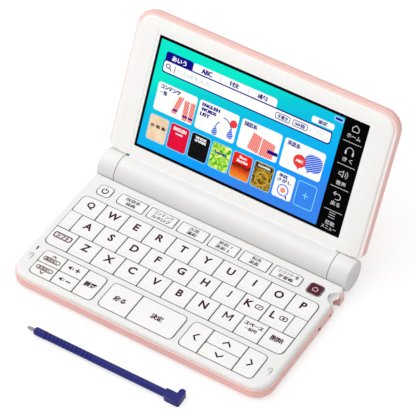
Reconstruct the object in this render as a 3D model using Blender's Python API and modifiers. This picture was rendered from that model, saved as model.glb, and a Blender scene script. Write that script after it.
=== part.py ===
"""Pocket electronic dictionary: keyboard base, hinged lid with a battery barrel, and a stylus.

The pieces are modelled with the front edge of the base at y = 0, the table at z = 0 and the lid
closed. Two empties then carry them: one sets the origin under the middle of the whole object,
the other is the lid's hinge and opens the lid.
"""

import math

import bmesh
import bpy
from mathutils import Matrix, Vector

MM = 0.001

# Overall sizes
BODY_WIDTH = 150.0 * MM
BASE_DEPTH = 78.4 * MM
ORIGIN_FROM_FRONT = 54.209 * MM
LID_OPEN_ANGLE = 115.2
PIECE_GAP = 0.3 * MM
OVERRUN = 2.0 * MM

# Lower case, a tray
CASE_BOTTOM = 0.8 * MM
CASE_RIM = 7.0 * MM
CASE_WALL = 2.0 * MM
CASE_FLOOR = 1.4 * MM
FRONT_CORNER_RADIUS = 10.0 * MM
REAR_CORNER_RADIUS = 1.2 * MM
CASE_BOTTOM_ROUNDING = 1.8 * MM
CASE_RIM_ROUNDING = 0.5 * MM
FOOT_RADIUS = 3.0 * MM
FOOT_FROM_EDGE = 11.0 * MM
POST_RADIUS = 2.0 * MM
BOARD_POST_SPACING_X = 45.0 * MM
BOARD_POST_SPACING_Y = 30.0 * MM
CORNER_POST_FROM_SIDE = 5.7 * MM
CORNER_POST_FROM_FRONT = 10.0 * MM
REAR_POST_RADIUS = 1.2 * MM
REAR_POST_OFFSET = 30.0 * MM

# Upper case, the keyboard deck
DECK_TOP = 9.6 * MM
DECK_THICKNESS = 1.6 * MM
DECK_INSET = 0.8 * MM
DECK_EDGE_ROUNDING = 1.6 * MM
TONGUE_THICKNESS = 1.0 * MM
TONGUE_DEPTH = 0.8 * MM
BUMPER_WIDTH = 1.8 * MM
BUMPER_LENGTH = 3.2 * MM
BUMPER_HEIGHT = 0.6 * MM
BUMPER_FROM_SIDE = 5.1 * MM
BUMPER_FROM_FRONT = 12.3 * MM
LAMP_SLOT_WIDTH = 0.8 * MM
LAMP_SLOT_LENGTH = 2.4 * MM
LAMP_SLOT_DEPTH = 0.5 * MM
LAMP_SLOT_FROM_FRONT = 19.8 * MM

# Keys
KEY_GAP = 0.36 * MM
LETTER_COLUMNS = 10
LETTER_BLOCK_FROM_SIDE = 5.0 * MM
LETTER_BLOCK_FRONT = 24.7 * MM
LETTER_BLOCK_REAR_GAP = 3.59 * MM
KEY_PROUD = 0.3 * MM
KEY_SKIRT = 1.7 * MM
KEY_WALL = 0.9 * MM
KEY_ROOF = 1.0 * MM
KEY_TRAVEL = 0.75 * MM
STEM_WIDTH = 1.6 * MM
STEM_LENGTH = 0.6 * MM
KEY_EDGE_ROUNDING = 0.2 * MM
KEY_CORNER_RADIUS = 0.3 * MM
KEY_SLOPE_BAND = 2.4 * MM
KEY_SLOPE_DROP = 0.35 * MM
BLOCK_CORNER_RADIUS = 3.0 * MM
CLUSTER_FRONT = 4.3 * MM
CLUSTER_DEPTH = 17.0 * MM
CLUSTER_GAP = 3.5 * MM
CLUSTER_FROM_SIDE = 9.7 * MM
CLUSTER_CORNER_RADIUS = 2.4 * MM
FUNCTION_ROW_FROM_REAR = 12.1 * MM
FUNCTION_KEY_DEPTH = 7.3 * MM
FUNCTION_KEY_GAP = 2.15 * MM
FUNCTION_KEY_COUNT = 6
FUNCTION_CORNER_RADIUS = 1.9 * MM
END_KEY_WIDTH = 8.2 * MM
END_KEY_FROM_SIDE = 12.5 * MM
END_KEY_GAP = 4.125 * MM

# Widths of the keys at the front, as parts of the room that they share
PAGE_KEY_SHARE = 13.1
VOLUME_KEY_SHARE = 13.0
HISTORY_KEY_SHARE = 11.5
BACK_KEY_SHARE = 17.0
ENTER_KEY_SHARE = 26.5
SIDE_ARROW_SHARE = 11.3
MIDDLE_ARROW_SHARE = 19.9

# Circuit board with the rubber dome sheet on it
BOARD_FROM_SIDE = 9.0 * MM
BOARD_FRONT = 3.6 * MM
BOARD_FROM_REAR = 5.6 * MM
BOARD_UNDERSIDE = 6.1 * MM
BOARD_THICKNESS = 0.9 * MM
DOME_HEIGHT = 0.35 * MM
DOME_FOOT_RADIUS = 2.1 * MM
DOME_TOP_RADIUS = 1.3 * MM
DOME_ROOT = 0.3 * MM

# Stylus bay and finger notch at the rear right
BAY_FROM_REAR = 8.4 * MM
BAY_HEIGHT = 3.6 * MM
BAY_RADIUS = 2.3 * MM
BAY_LENGTH = 90.0 * MM
BAY_RIB_WIDTH = 6.4 * MM
BAY_RIB_TOP = 5.8 * MM
NOTCH_FROM_REAR = 11.9 * MM
NOTCH_LENGTH = 7.0 * MM
NOTCH_DEPTH = 2.9 * MM
NOTCH_WALL = 1.2 * MM
NOTCH_BLOCK_DEPTH = 3.0 * MM
SCOOP_RADIUS_X = 6.1 * MM
SCOOP_RADIUS_Y = 4.7 * MM
SCOOP_RADIUS_Z = 3.4 * MM
SCOOP_OUTSIDE = 0.9 * MM
SCOOP_ABOVE_DECK = 0.6 * MM

# Sockets in the sides of the lower case
PORT_FROM_REAR = 31.8 * MM
PORT_COVER_LENGTH = 7.6 * MM
PORT_COVER_HEIGHT = 2.6 * MM
PORT_COVER_BOTTOM = 2.9 * MM
PORT_COVER_THICKNESS = 0.8 * MM
PORT_SLOT_MARGIN = 0.9 * MM
PORT_NAIL_NOTCH = 0.9 * MM
PORT_NAIL_DEPTH = 0.4 * MM
CORD_HOLE_FROM_REAR = 15.0 * MM
CORD_HOLE_RADIUS = 0.6 * MM
JACK_FROM_REAR = 18.4 * MM
JACK_RADIUS = 1.8 * MM
SIDE_HOLE_HEIGHT = 4.2 * MM
CARD_SLOT_FROM_REAR = 44.4 * MM
CARD_SLOT_LENGTH = 11.6 * MM
CARD_SLOT_HEIGHT = 1.2 * MM

# Hinge and its barrel
HINGE_BEHIND_BASE = 8.9 * MM
HINGE_HEIGHT = 9.9 * MM
BARREL_RADIUS = 8.5 * MM
BARREL_FROM_SIDE = 11.6 * MM
CAP_FROM_SIDE = 0.8 * MM
BARREL_SIDES = 48
CAP_EDGE_ROUNDING = 0.8 * MM
PIN_RADIUS = 3.0 * MM
PIN_LENGTH = 5.5 * MM
CAP_TAB_WIDTH = 7.0 * MM
CAP_TAB_BOTTOM = 3.0 * MM
CAP_TAB_TOP = 5.8 * MM
CAP_TAB_FROM_END = 2.4 * MM
HOOK_THICKNESS = 1.2 * MM
HOOK_LIP = 0.8 * MM
REAR_FOOT_RADIUS = 2.8 * MM

# Batteries, two standard cells end to end, and their cover
CELL_RADIUS = 7.25 * MM
CELL_FULL_LENGTH = 50.5 * MM
CELL_END_ROOM = 4.0 * MM
CELL_NUB_RADIUS = 2.75 * MM
CELL_NUB_LENGTH = 1.0 * MM
CELL_SPRING_ROOM = 1.5 * MM
BATTERY_WALL = 0.95 * MM
BATTERY_SPLIT_OFFSET = 1.3 * MM
BATTERY_COVER_DIRECTION = 62.0

# Lid frame, the white inside of the lid
LID_CLOSED_GAP = 0.8 * MM
LID_FACE_THICKNESS = 2.2 * MM
LID_HINGE_CLEARANCE = 0.4 * MM
LID_FACE_ROUNDING = 1.2 * MM
LID_SIDE_OVERHANG = 0.6 * MM
LID_FRONT_OVERHANG = 1.2 * MM
LID_REAR_CORNER_RADIUS = 3.8 * MM
LID_WEB_HEIGHT = 3.2 * MM
LID_WEB_DEPTH = 4.6 * MM
LID_RIB_THICKNESS = 1.4 * MM
LID_POST_RADIUS = 1.8 * MM
LID_POST_FROM_SIDE = 8.5 * MM
LID_POST_FROM_END = 8.2 * MM
STEP_MARGIN = 1.7 * MM
STEP_DEPTH = 0.2 * MM

# Lid cover, the coloured back of the lid
LID_THICKNESS = 7.2 * MM
COVER_RIM_SETBACK = 1.6 * MM
COVER_RIM_ROUNDING = 0.3 * MM
COVER_WALL = 1.8 * MM
COVER_BACK = 1.4 * MM
COVER_ROUNDING = 3.0 * MM

# Display module
GLASS_FROM_SIDE = 14.5 * MM
GLASS_FROM_FREE_EDGE = 10.8 * MM
GLASS_FROM_HINGE = 15.6 * MM
GLASS_THICKNESS = 0.9 * MM
GLASS_SETBACK = 0.3 * MM
PANEL_INSET = 3.4 * MM
PANEL_THICKNESS = 3.4 * MM

# Stylus, lying in front of the base
STYLUS_FROM_FRONT = 20.5 * MM
STYLUS_TURN = 0.7
STYLUS_TIP_X = -48.6 * MM
STYLUS_RADIUS = 2.0 * MM
STYLUS_COLLAR_RADIUS = 2.1 * MM
STYLUS_GROOVE_RADIUS = 1.6 * MM
STYLUS_TIP_RADIUS = 0.9 * MM
STYLUS_TIP_LENGTH = 4.6 * MM
STYLUS_NOSE_LENGTH = 1.4 * MM
STYLUS_COLLAR_LENGTH = 6.8 * MM
STYLUS_RIB_PITCH = 2.2 * MM
STYLUS_RIB_COUNT = 13
STYLUS_RIB_CUT = 0.3 * MM
STYLUS_LENGTH = 89.2 * MM
STYLUS_SIDES = 12
HEAD_LENGTH = 9.2 * MM
HEAD_OFFSET = 0.8 * MM
HEAD_ARM_WIDTH = 3.4 * MM
HEAD_ARM_REACH = 5.6 * MM
HEAD_ARM_ROUNDING = 1.5 * MM
HEAD_ROUNDING = 1.0 * MM

# Worked out from the sizes above
HALF_WIDTH = BODY_WIDTH / 2
DECK_UNDERSIDE = DECK_TOP - DECK_THICKNESS
DECK_SEAT = CASE_RIM + PIECE_GAP
DECK_HALF_WIDTH = HALF_WIDTH - DECK_INSET
CASE_INNER_HALF_WIDTH = HALF_WIDTH - CASE_WALL
CASE_FLOOR_TOP = CASE_BOTTOM + CASE_FLOOR
CASE_INNER_REAR = BASE_DEPTH - CASE_WALL
TONGUE_BOTTOM = CASE_RIM - TONGUE_DEPTH
KEY_TOP = DECK_TOP + KEY_PROUD
KEY_BOTTOM = KEY_TOP - KEY_SKIRT
BOARD_TOP = BOARD_UNDERSIDE + BOARD_THICKNESS
LETTER_HALF_WIDTH = HALF_WIDTH - LETTER_BLOCK_FROM_SIDE
KEY_PITCH = 2 * LETTER_HALF_WIDTH / LETTER_COLUMNS
FUNCTION_ROW_FRONT = BASE_DEPTH - FUNCTION_ROW_FROM_REAR
ROW_PITCH = (FUNCTION_ROW_FRONT - LETTER_BLOCK_REAR_GAP - LETTER_BLOCK_FRONT) / 3
END_KEY_FROM_CENTRE = HALF_WIDTH - END_KEY_FROM_SIDE
FUNCTION_ROW_HALF_WIDTH = END_KEY_FROM_CENTRE - END_KEY_WIDTH / 2 - END_KEY_GAP
FUNCTION_KEY_PITCH = (2 * FUNCTION_ROW_HALF_WIDTH + FUNCTION_KEY_GAP) / FUNCTION_KEY_COUNT
BOARD_WIDTH = BODY_WIDTH - 2 * BOARD_FROM_SIDE
BOARD_REAR = BASE_DEPTH - BOARD_FROM_REAR
BAY_FROM_FRONT = BASE_DEPTH - BAY_FROM_REAR
PORT_FROM_FRONT = BASE_DEPTH - PORT_FROM_REAR
CORD_HOLE_FROM_FRONT = BASE_DEPTH - CORD_HOLE_FROM_REAR
JACK_FROM_FRONT = BASE_DEPTH - JACK_FROM_REAR
CARD_SLOT_FROM_FRONT = BASE_DEPTH - CARD_SLOT_FROM_REAR
HINGE_FROM_FRONT = BASE_DEPTH + HINGE_BEHIND_BASE
LID_FACE = DECK_TOP + LID_CLOSED_GAP
LID_BACK = LID_FACE + LID_THICKNESS
LID_HALF_WIDTH = HALF_WIDTH + LID_SIDE_OVERHANG
LID_FRONT = -LID_FRONT_OVERHANG
LID_REAR = HINGE_FROM_FRONT - BARREL_RADIUS - LID_HINGE_CLEARANCE
BARREL_HALF_LENGTH = HALF_WIDTH - BARREL_FROM_SIDE
CELL_LENGTH = min(CELL_FULL_LENGTH, BARREL_HALF_LENGTH - PIN_LENGTH - CELL_SPRING_ROOM - CELL_END_ROOM)
BAY_INNER_RADIUS = BARREL_RADIUS - BATTERY_WALL
BAY_HALF_LENGTH = CELL_LENGTH + CELL_SPRING_ROOM
HINGE = Vector((0, HINGE_FROM_FRONT, HINGE_HEIGHT))
STYLUS_TIP = Vector((STYLUS_TIP_X, -STYLUS_FROM_FRONT, STYLUS_COLLAR_RADIUS))
NOTCH_FRONT = BASE_DEPTH - NOTCH_FROM_REAR
NOTCH_REAR = NOTCH_FRONT + NOTCH_LENGTH
NOTCH_INNER = HALF_WIDTH - NOTCH_DEPTH
GLASS_FRONT = LID_FRONT + GLASS_FROM_FREE_EDGE
GLASS_REAR = HINGE_FROM_FRONT - GLASS_FROM_HINGE
GLASS_WIDTH = BODY_WIDTH - 2 * GLASS_FROM_SIDE
GLASS_FACE = LID_FACE + GLASS_SETBACK

# Colour, roughness and metallic value of each finish
WHITE_PLASTIC = ((0.86, 0.855, 0.845), 0.42, 0.0)
PINK_PLASTIC = ((0.80, 0.42, 0.38), 0.40, 0.0)
KEY_WHITE = ((0.88, 0.875, 0.865), 0.50, 0.0)
KEY_MAROON = ((0.16, 0.03, 0.06), 0.40, 0.0)
SCREEN_BLACK = ((0.01, 0.01, 0.012), 0.12, 0.0)
BOARD_GREEN = ((0.05, 0.22, 0.10), 0.55, 0.0)
CELL_METAL = ((0.62, 0.62, 0.60), 0.30, 1.0)
STYLUS_BLUE = ((0.04, 0.05, 0.26), 0.38, 0.0)


def clear_scene():
    """Removes what the start-up scene holds."""
    for item in list(bpy.data.objects):
        bpy.data.objects.remove(item, do_unlink=True)


def new_collection(name):
    collection = bpy.data.collections.new(name)
    bpy.context.scene.collection.children.link(collection)
    return collection


def new_empty(name, location, parent=None):
    empty = bpy.data.objects.new(name, None)
    empty.location = location
    empty.empty_display_size = PIN_RADIUS
    empty.parent = parent
    PARTS.objects.link(empty)
    return empty


def new_material(name, finish):
    colour, roughness, metallic = finish
    material = bpy.data.materials.new(name)
    material.use_nodes = True
    shader = material.node_tree.nodes["Principled BSDF"]
    shader.inputs["Base Color"].default_value = (*colour, 1.0)
    shader.inputs["Roughness"].default_value = roughness
    shader.inputs["Metallic"].default_value = metallic
    return material


def block(low, high):
    """A box between two corners, whichever of them is the higher."""
    low, high = Vector(low), Vector(high)
    mesh = bmesh.new()
    bmesh.ops.create_cube(mesh, size=1.0)
    size = Vector([abs(b - a) for a, b in zip(low, high)])
    bmesh.ops.scale(mesh, vec=size, verts=mesh.verts)
    bmesh.ops.translate(mesh, vec=(low + high) / 2, verts=mesh.verts)
    return mesh


def round_uprights(mesh, radii, segments):
    """Rounds the four upright edges of a box: front left, front right, rear right, rear left."""
    fine = max(radii) / 6
    middle = sum((v.co for v in mesh.verts), Vector()) / len(mesh.verts)
    corners = ((-1, -1), (1, -1), (1, 1), (-1, 1))
    uprights = [e for e in mesh.edges if abs((e.verts[0].co - e.verts[1].co).normalized().z) > 0.99]
    for (side, end), radius in zip(corners, radii):
        if radius <= 0:
            continue
        chosen = [
            e for e in uprights
            if e.is_valid and (e.verts[0].co.x - middle.x) * side > 0 and (e.verts[0].co.y - middle.y) * end > 0
        ]
        bmesh.ops.bevel(mesh, geom=chosen, offset=radius, offset_type="OFFSET",
                        segments=segments if radius > fine else 1, profile=0.5, affect="EDGES", clamp_overlap=False)
    return mesh


def round_rim(mesh, height, radius, segments, keep=lambda edge: True):
    """Rounds the edges that run round the box at a height, where keep allows it."""
    near = radius / 100
    chosen = [
        e for e in mesh.edges
        if all(abs(v.co.z - height) < near for v in e.verts) and keep(e)
        and any(abs(f.normal.z) < 0.5 for f in e.link_faces)
    ]
    bmesh.ops.bevel(mesh, geom=chosen, offset=radius, offset_type="OFFSET", segments=segments,
                    profile=0.5, affect="EDGES", clamp_overlap=False)
    return mesh


def upright_cylinder(radius, low, high, sides, top_radius=None):
    """A cylinder or cone that stands from the point low up to the height high."""
    low = Vector(low)
    mesh = bmesh.new()
    bmesh.ops.create_cone(mesh, cap_ends=True, segments=sides, radius1=radius,
                          radius2=radius if top_radius is None else top_radius, depth=high - low.z)
    bmesh.ops.translate(mesh, vec=(low.x, low.y, (low.z + high) / 2), verts=mesh.verts)
    return mesh


def side_cylinder(radius, x_from, x_to, centre_y, centre_z, sides):
    """A cylinder along X."""
    mesh = bmesh.new()
    bmesh.ops.create_cone(mesh, cap_ends=True, segments=sides, radius1=radius, radius2=radius,
                          depth=abs(x_to - x_from))
    bmesh.ops.rotate(mesh, cent=(0, 0, 0), matrix=Matrix.Rotation(math.radians(90), 3, "Y"), verts=mesh.verts)
    bmesh.ops.translate(mesh, vec=((x_from + x_to) / 2, centre_y, centre_z), verts=mesh.verts)
    return mesh


def joined(meshes):
    """Puts several closed bodies that don't touch into one mesh."""
    whole = bmesh.new()
    for mesh in meshes:
        piece = bpy.data.meshes.new("piece")
        mesh.to_mesh(piece)
        mesh.free()
        whole.from_mesh(piece)
        bpy.data.meshes.remove(piece)
    return whole


def add_object(name, mesh, origin, parent, finish=None, smooth_angle=35.0):
    """Makes an object with its origin at a point of the modelling frame; without a finish it is a cutter."""
    origin = Vector(origin)
    bmesh.ops.translate(mesh, vec=-origin, verts=mesh.verts)
    bmesh.ops.recalc_face_normals(mesh, faces=mesh.faces)
    data = bpy.data.meshes.new(name)
    mesh.to_mesh(data)
    mesh.free()
    data.shade_smooth()
    data.set_sharp_from_angle(angle=math.radians(smooth_angle))
    item = bpy.data.objects.new(name, data)
    item.location = origin - PARENT_ORIGIN[parent.name]
    item.parent = parent
    if finish is None:
        CUTTERS.objects.link(item)
        item.hide_render = True
        item.display_type = "WIRE"
    else:
        PARTS.objects.link(item)
        data.materials.append(new_material(name, finish))
    return item


def combine(target, name, mesh, operation):
    """Adds a Boolean with a new cutter that follows the target's parent."""
    cutter = add_object(name, mesh, (0, 0, 0), target.parent)
    modifier = target.modifiers.new(name, "BOOLEAN")
    modifier.operation = operation
    modifier.solver = "EXACT"
    modifier.object = cutter


def cut(target, name, mesh):
    combine(target, name, mesh, "DIFFERENCE")


def add(target, name, mesh):
    combine(target, name, mesh, "UNION")


def make_lower_case():
    outer = block((-HALF_WIDTH, 0, CASE_BOTTOM), (HALF_WIDTH, BASE_DEPTH, CASE_RIM))
    round_uprights(outer, (FRONT_CORNER_RADIUS,) * 2 + (REAR_CORNER_RADIUS,) * 2, 6)
    round_rim(outer, CASE_BOTTOM, CASE_BOTTOM_ROUNDING, 3, keep=not_at_rear)
    round_rim(outer, CASE_RIM, CASE_RIM_ROUNDING, 2, keep=not_at_rear)
    case = add_object("lower_case", outer, (0, 0, 0), BASE, PINK_PLASTIC)

    inside = block((-CASE_INNER_HALF_WIDTH, CASE_WALL, CASE_FLOOR_TOP),
                   (CASE_INNER_HALF_WIDTH, CASE_INNER_REAR, CASE_RIM + OVERRUN))
    round_uprights(inside, (FRONT_CORNER_RADIUS - CASE_WALL,) * 2 + (0, 0), 6)
    cut(case, "case_inside", inside)
    add(case, "case_fittings", joined(case_fittings()))

    notch = block((NOTCH_INNER, NOTCH_FRONT, CASE_BOTTOM - OVERRUN), (HALF_WIDTH + OVERRUN, NOTCH_REAR, CASE_RIM + OVERRUN))
    round_uprights(notch, (CASE_RIM_ROUNDING, 0, 0, CASE_RIM_ROUNDING), 2)
    port = block((HALF_WIDTH - PORT_COVER_THICKNESS - PIECE_GAP, PORT_FROM_FRONT - PIECE_GAP, PORT_COVER_BOTTOM - PIECE_GAP),
                 (HALF_WIDTH + OVERRUN, PORT_FROM_FRONT + PORT_COVER_LENGTH + PIECE_GAP,
                  PORT_COVER_BOTTOM + PORT_COVER_HEIGHT + PIECE_GAP))
    cord_hole = side_cylinder(CORD_HOLE_RADIUS, HALF_WIDTH - CASE_WALL / 2, HALF_WIDTH + OVERRUN,
                              CORD_HOLE_FROM_FRONT, SIDE_HOLE_HEIGHT, 12)
    jack = side_cylinder(JACK_RADIUS, -HALF_WIDTH - OVERRUN, -CASE_INNER_HALF_WIDTH + OVERRUN,
                         JACK_FROM_FRONT, SIDE_HOLE_HEIGHT, 16)
    card = block((-HALF_WIDTH - OVERRUN, CARD_SLOT_FROM_FRONT, SIDE_HOLE_HEIGHT - CARD_SLOT_HEIGHT / 2),
                 (-CASE_INNER_HALF_WIDTH + OVERRUN, CARD_SLOT_FROM_FRONT + CARD_SLOT_LENGTH,
                  SIDE_HOLE_HEIGHT + CARD_SLOT_HEIGHT / 2))
    slots = [tab_slot(side) for side in (-1, 1)]
    cut(case, "case_openings", joined([notch, port, cord_hole, jack, card] + slots))

    mouth_half = STYLUS_COLLAR_RADIUS + PIECE_GAP
    mouth = block((NOTCH_INNER - HEAD_LENGTH + HEAD_ARM_WIDTH - PIECE_GAP, BAY_FROM_FRONT - mouth_half, CASE_BOTTOM - OVERRUN),
                  (NOTCH_INNER + OVERRUN, BAY_FROM_FRONT + mouth_half, BAY_HEIGHT + STYLUS_RADIUS + PIECE_GAP))
    cut(case, "bay_mouth", mouth)
    bay = side_cylinder(BAY_RADIUS, NOTCH_INNER + OVERRUN, NOTCH_INNER - BAY_LENGTH, BAY_FROM_FRONT, BAY_HEIGHT, 16)
    channel = block((NOTCH_INNER - BAY_LENGTH, BAY_FROM_FRONT - BAY_RADIUS, BAY_HEIGHT),
                    (NOTCH_INNER + OVERRUN, BAY_FROM_FRONT + BAY_RADIUS, BAY_RIB_TOP + OVERRUN))
    socket = block((CASE_INNER_HALF_WIDTH - OVERRUN, PORT_FROM_FRONT + PORT_SLOT_MARGIN, PORT_COVER_BOTTOM + PORT_SLOT_MARGIN / 2),
                   (HALF_WIDTH, PORT_FROM_FRONT + PORT_COVER_LENGTH - PORT_SLOT_MARGIN,
                    PORT_COVER_BOTTOM + PORT_COVER_HEIGHT - PORT_SLOT_MARGIN / 2))
    cut(case, "case_bores", joined([merged(bay, channel), socket]))


def not_at_rear(edge):
    """True for an edge that isn't on the straight rear side of the base or on its corners."""
    return min(v.co.y for v in edge.verts) < BASE_DEPTH - REAR_CORNER_RADIUS * 1.01


def case_fittings():
    """Feet, posts and the stylus bay, which stand on or under the floor of the tray."""
    root = CASE_FLOOR_TOP - CASE_FLOOR / 2
    foot_x = HALF_WIDTH - FOOT_FROM_EDGE
    feet = [upright_cylinder(FOOT_RADIUS, (side * foot_x, FOOT_FROM_EDGE, 0), root, 16) for side in (-1, 1)]
    board_middle = (BOARD_FRONT + BAY_FROM_FRONT - BAY_RIB_WIDTH / 2) / 2
    posts = [
        upright_cylinder(POST_RADIUS, (column * BOARD_POST_SPACING_X, board_middle + row * BOARD_POST_SPACING_Y / 2, root),
                         BOARD_UNDERSIDE - PIECE_GAP, 10)
        for column in (-1, 0, 1) for row in (-1, 1)
    ]
    corner_posts = [
        upright_cylinder(POST_RADIUS, (side * (HALF_WIDTH - CORNER_POST_FROM_SIDE), CORNER_POST_FROM_FRONT, root),
                         TONGUE_BOTTOM, 10)
        for side in (-1, 1)
    ]
    rib = block((NOTCH_INNER - BAY_LENGTH - CASE_WALL, BAY_FROM_FRONT - BAY_RIB_WIDTH / 2, root),
                (NOTCH_INNER - NOTCH_WALL, BAY_FROM_FRONT + BAY_RIB_WIDTH / 2, BAY_RIB_TOP))
    pocket = block((NOTCH_INNER - NOTCH_WALL * 1.5, NOTCH_FRONT - NOTCH_WALL, root),
                   (CASE_INNER_HALF_WIDTH + CASE_WALL / 2, NOTCH_REAR + NOTCH_WALL, BAY_RIB_TOP + PIECE_GAP / 10))
    return feet + posts + corner_posts + [merged(rib, pocket)]


def merged(first, second):
    """Boolean union of two boxes that overlap, as one closed body."""
    holders = []
    for mesh in (first, second):
        data = bpy.data.meshes.new("merge")
        mesh.to_mesh(data)
        mesh.free()
        holder = bpy.data.objects.new("merge", data)
        bpy.context.scene.collection.objects.link(holder)
        holders.append(holder)
    modifier = holders[0].modifiers.new("merge", "BOOLEAN")
    modifier.operation = "UNION"
    modifier.solver = "EXACT"
    modifier.object = holders[1]
    evaluated = holders[0].evaluated_get(bpy.context.evaluated_depsgraph_get())
    data = bpy.data.meshes.new_from_object(evaluated)
    whole = bmesh.new()
    whole.from_mesh(data)
    for holder in holders:
        bpy.data.objects.remove(holder, do_unlink=True)
    return whole


def tab_slot(side):
    """Slot in the rear wall that the hinge cap's tab passes through, open to the rim."""
    inner, outer = tab_span(side)
    return block((inner - side * PIECE_GAP, CASE_INNER_REAR - OVERRUN / 4, CAP_TAB_BOTTOM - PIECE_GAP),
                 (outer + side * PIECE_GAP, BASE_DEPTH + OVERRUN, CASE_RIM + OVERRUN))


def tab_span(side):
    """Inner and outer x of a hinge cap's tab."""
    outer = side * (HALF_WIDTH - CAP_TAB_FROM_END)
    return outer - side * CAP_TAB_WIDTH, outer


def make_upper_case():
    outer = block((-DECK_HALF_WIDTH, DECK_INSET, DECK_SEAT), (DECK_HALF_WIDTH, BASE_DEPTH, DECK_TOP))
    round_uprights(outer, (FRONT_CORNER_RADIUS - DECK_INSET,) * 2 + (REAR_CORNER_RADIUS,) * 2, 6)
    round_rim(outer, DECK_TOP, DECK_EDGE_ROUNDING, 4, keep=not_at_rear)
    deck = add_object("upper_case", outer, (0, 0, 0), BASE, WHITE_PLASTIC)

    tongue_half = CASE_INNER_HALF_WIDTH - PIECE_GAP
    tongue_front = CASE_WALL + PIECE_GAP
    tongue_rear = CASE_INNER_REAR - PIECE_GAP
    tongue = block((-tongue_half, tongue_front, TONGUE_BOTTOM), (tongue_half, tongue_rear, DECK_UNDERSIDE))
    tongue_radius = FRONT_CORNER_RADIUS - CASE_WALL - PIECE_GAP
    round_uprights(tongue, (tongue_radius,) * 2 + (0, 0), 6)
    add(deck, "deck_tongue", tongue)

    inside = block((-tongue_half + TONGUE_THICKNESS, tongue_front + TONGUE_THICKNESS, TONGUE_BOTTOM - OVERRUN),
                   (tongue_half - TONGUE_THICKNESS, tongue_rear - TONGUE_THICKNESS, DECK_UNDERSIDE))
    round_uprights(inside, (tongue_radius - TONGUE_THICKNESS,) * 2 + (0, 0), 6)
    cut(deck, "deck_inside", inside)

    scoop_block = block((NOTCH_INNER - NOTCH_BLOCK_DEPTH, NOTCH_FRONT - NOTCH_WALL, BAY_RIB_TOP + 2 * PIECE_GAP),
                        (tongue_half - TONGUE_THICKNESS / 2, NOTCH_REAR + NOTCH_WALL, DECK_UNDERSIDE + DECK_THICKNESS / 2))
    add(deck, "deck_fittings", joined([scoop_block] + deck_posts() + bumpers()))

    for row in range(3):
        cut(deck, "deck_row_%d" % (row + 1), row_opening(row))
    cut(deck, "deck_windows", joined([key_window(cell) for cell in window_cells()] + [lamp_slot()]))

    scoop = bmesh.new()
    bmesh.ops.create_uvsphere(scoop, u_segments=24, v_segments=14, radius=1.0)
    bmesh.ops.scale(scoop, vec=(SCOOP_RADIUS_X, SCOOP_RADIUS_Y, SCOOP_RADIUS_Z), verts=scoop.verts)
    bmesh.ops.translate(scoop, vec=(HALF_WIDTH + SCOOP_OUTSIDE, (NOTCH_FRONT + NOTCH_REAR) / 2, DECK_TOP + SCOOP_ABOVE_DECK), verts=scoop.verts)
    cut(deck, "deck_scoop", scoop)
    cut(deck, "deck_notch", block((NOTCH_INNER, NOTCH_FRONT, TONGUE_BOTTOM - OVERRUN),
                                  (HALF_WIDTH + OVERRUN, NOTCH_REAR, DECK_SEAT)))


def deck_posts():
    """Posts under the deck that stand over the posts of the lower case."""
    top = DECK_UNDERSIDE + DECK_THICKNESS / 2
    front = [
        upright_cylinder(POST_RADIUS, (side * (HALF_WIDTH - CORNER_POST_FROM_SIDE), CORNER_POST_FROM_FRONT,
                                       TONGUE_BOTTOM + PIECE_GAP), top, 10)
        for side in (-1, 1)
    ]
    rear_y = CASE_INNER_REAR - PIECE_GAP - REAR_POST_RADIUS * 1.1
    rear = [
        upright_cylinder(REAR_POST_RADIUS, (side * REAR_POST_OFFSET, rear_y, CASE_FLOOR_TOP + PIECE_GAP), top, 8)
        for side in (-1, 1)
    ]
    return front + rear


def bumpers():
    """Two soft pads on which the closed lid rests."""
    pads = []
    for side in (-1, 1):
        x = side * (HALF_WIDTH - BUMPER_FROM_SIDE)
        pad = block((x - BUMPER_WIDTH / 2, BUMPER_FROM_FRONT - BUMPER_LENGTH / 2, DECK_TOP - DECK_THICKNESS / 2),
                    (x + BUMPER_WIDTH / 2, BUMPER_FROM_FRONT + BUMPER_LENGTH / 2, DECK_TOP + BUMPER_HEIGHT))
        round_uprights(pad, (BUMPER_WIDTH / 3,) * 4, 2)
        round_rim(pad, DECK_TOP + BUMPER_HEIGHT, BUMPER_HEIGHT / 2, 2)
        pads.append(pad)
    return pads


def lamp_slot():
    x = -(HALF_WIDTH - BUMPER_FROM_SIDE)
    return block((x - LAMP_SLOT_WIDTH / 2, LAMP_SLOT_FROM_FRONT - LAMP_SLOT_LENGTH / 2, DECK_TOP - LAMP_SLOT_DEPTH),
                 (x + LAMP_SLOT_WIDTH / 2, LAMP_SLOT_FROM_FRONT + LAMP_SLOT_LENGTH / 2, DECK_TOP + OVERRUN))


def row_opening(row):
    """Opening of one letter row, counted from the front; the middle row is half a key shorter at each end."""
    half = LETTER_HALF_WIDTH - (KEY_PITCH / 2 if row == 1 else 0) + KEY_GAP / 2
    front = LETTER_BLOCK_FRONT + row * ROW_PITCH
    rear = front + ROW_PITCH
    grow_front = {0: KEY_GAP / 2, 1: KEY_GAP, 2: -KEY_GAP / 2}[row]
    grow_rear = {0: -KEY_GAP / 2, 1: KEY_GAP, 2: KEY_GAP / 2}[row]
    opening = block((-half, front - grow_front, DECK_UNDERSIDE - OVERRUN), (half, rear + grow_rear, DECK_TOP + OVERRUN))
    radius = BLOCK_CORNER_RADIUS + KEY_GAP / 2
    radii = {0: (radius, radius, 0, 0), 1: (0, 0, 0, 0), 2: (0, 0, radius, radius)}[row]
    return round_uprights(opening, radii, 4)


def key_window(cell):
    """Opening of one key or of one group of keys that share it."""
    left, right, front, rear, radii = cell
    half_gap = KEY_GAP / 2
    opening = block((left - half_gap, front - half_gap, DECK_UNDERSIDE - OVERRUN),
                    (right + half_gap, rear + half_gap, DECK_TOP + OVERRUN))
    return round_uprights(opening, [r + half_gap if r else half_gap for r in radii], 3)


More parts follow.
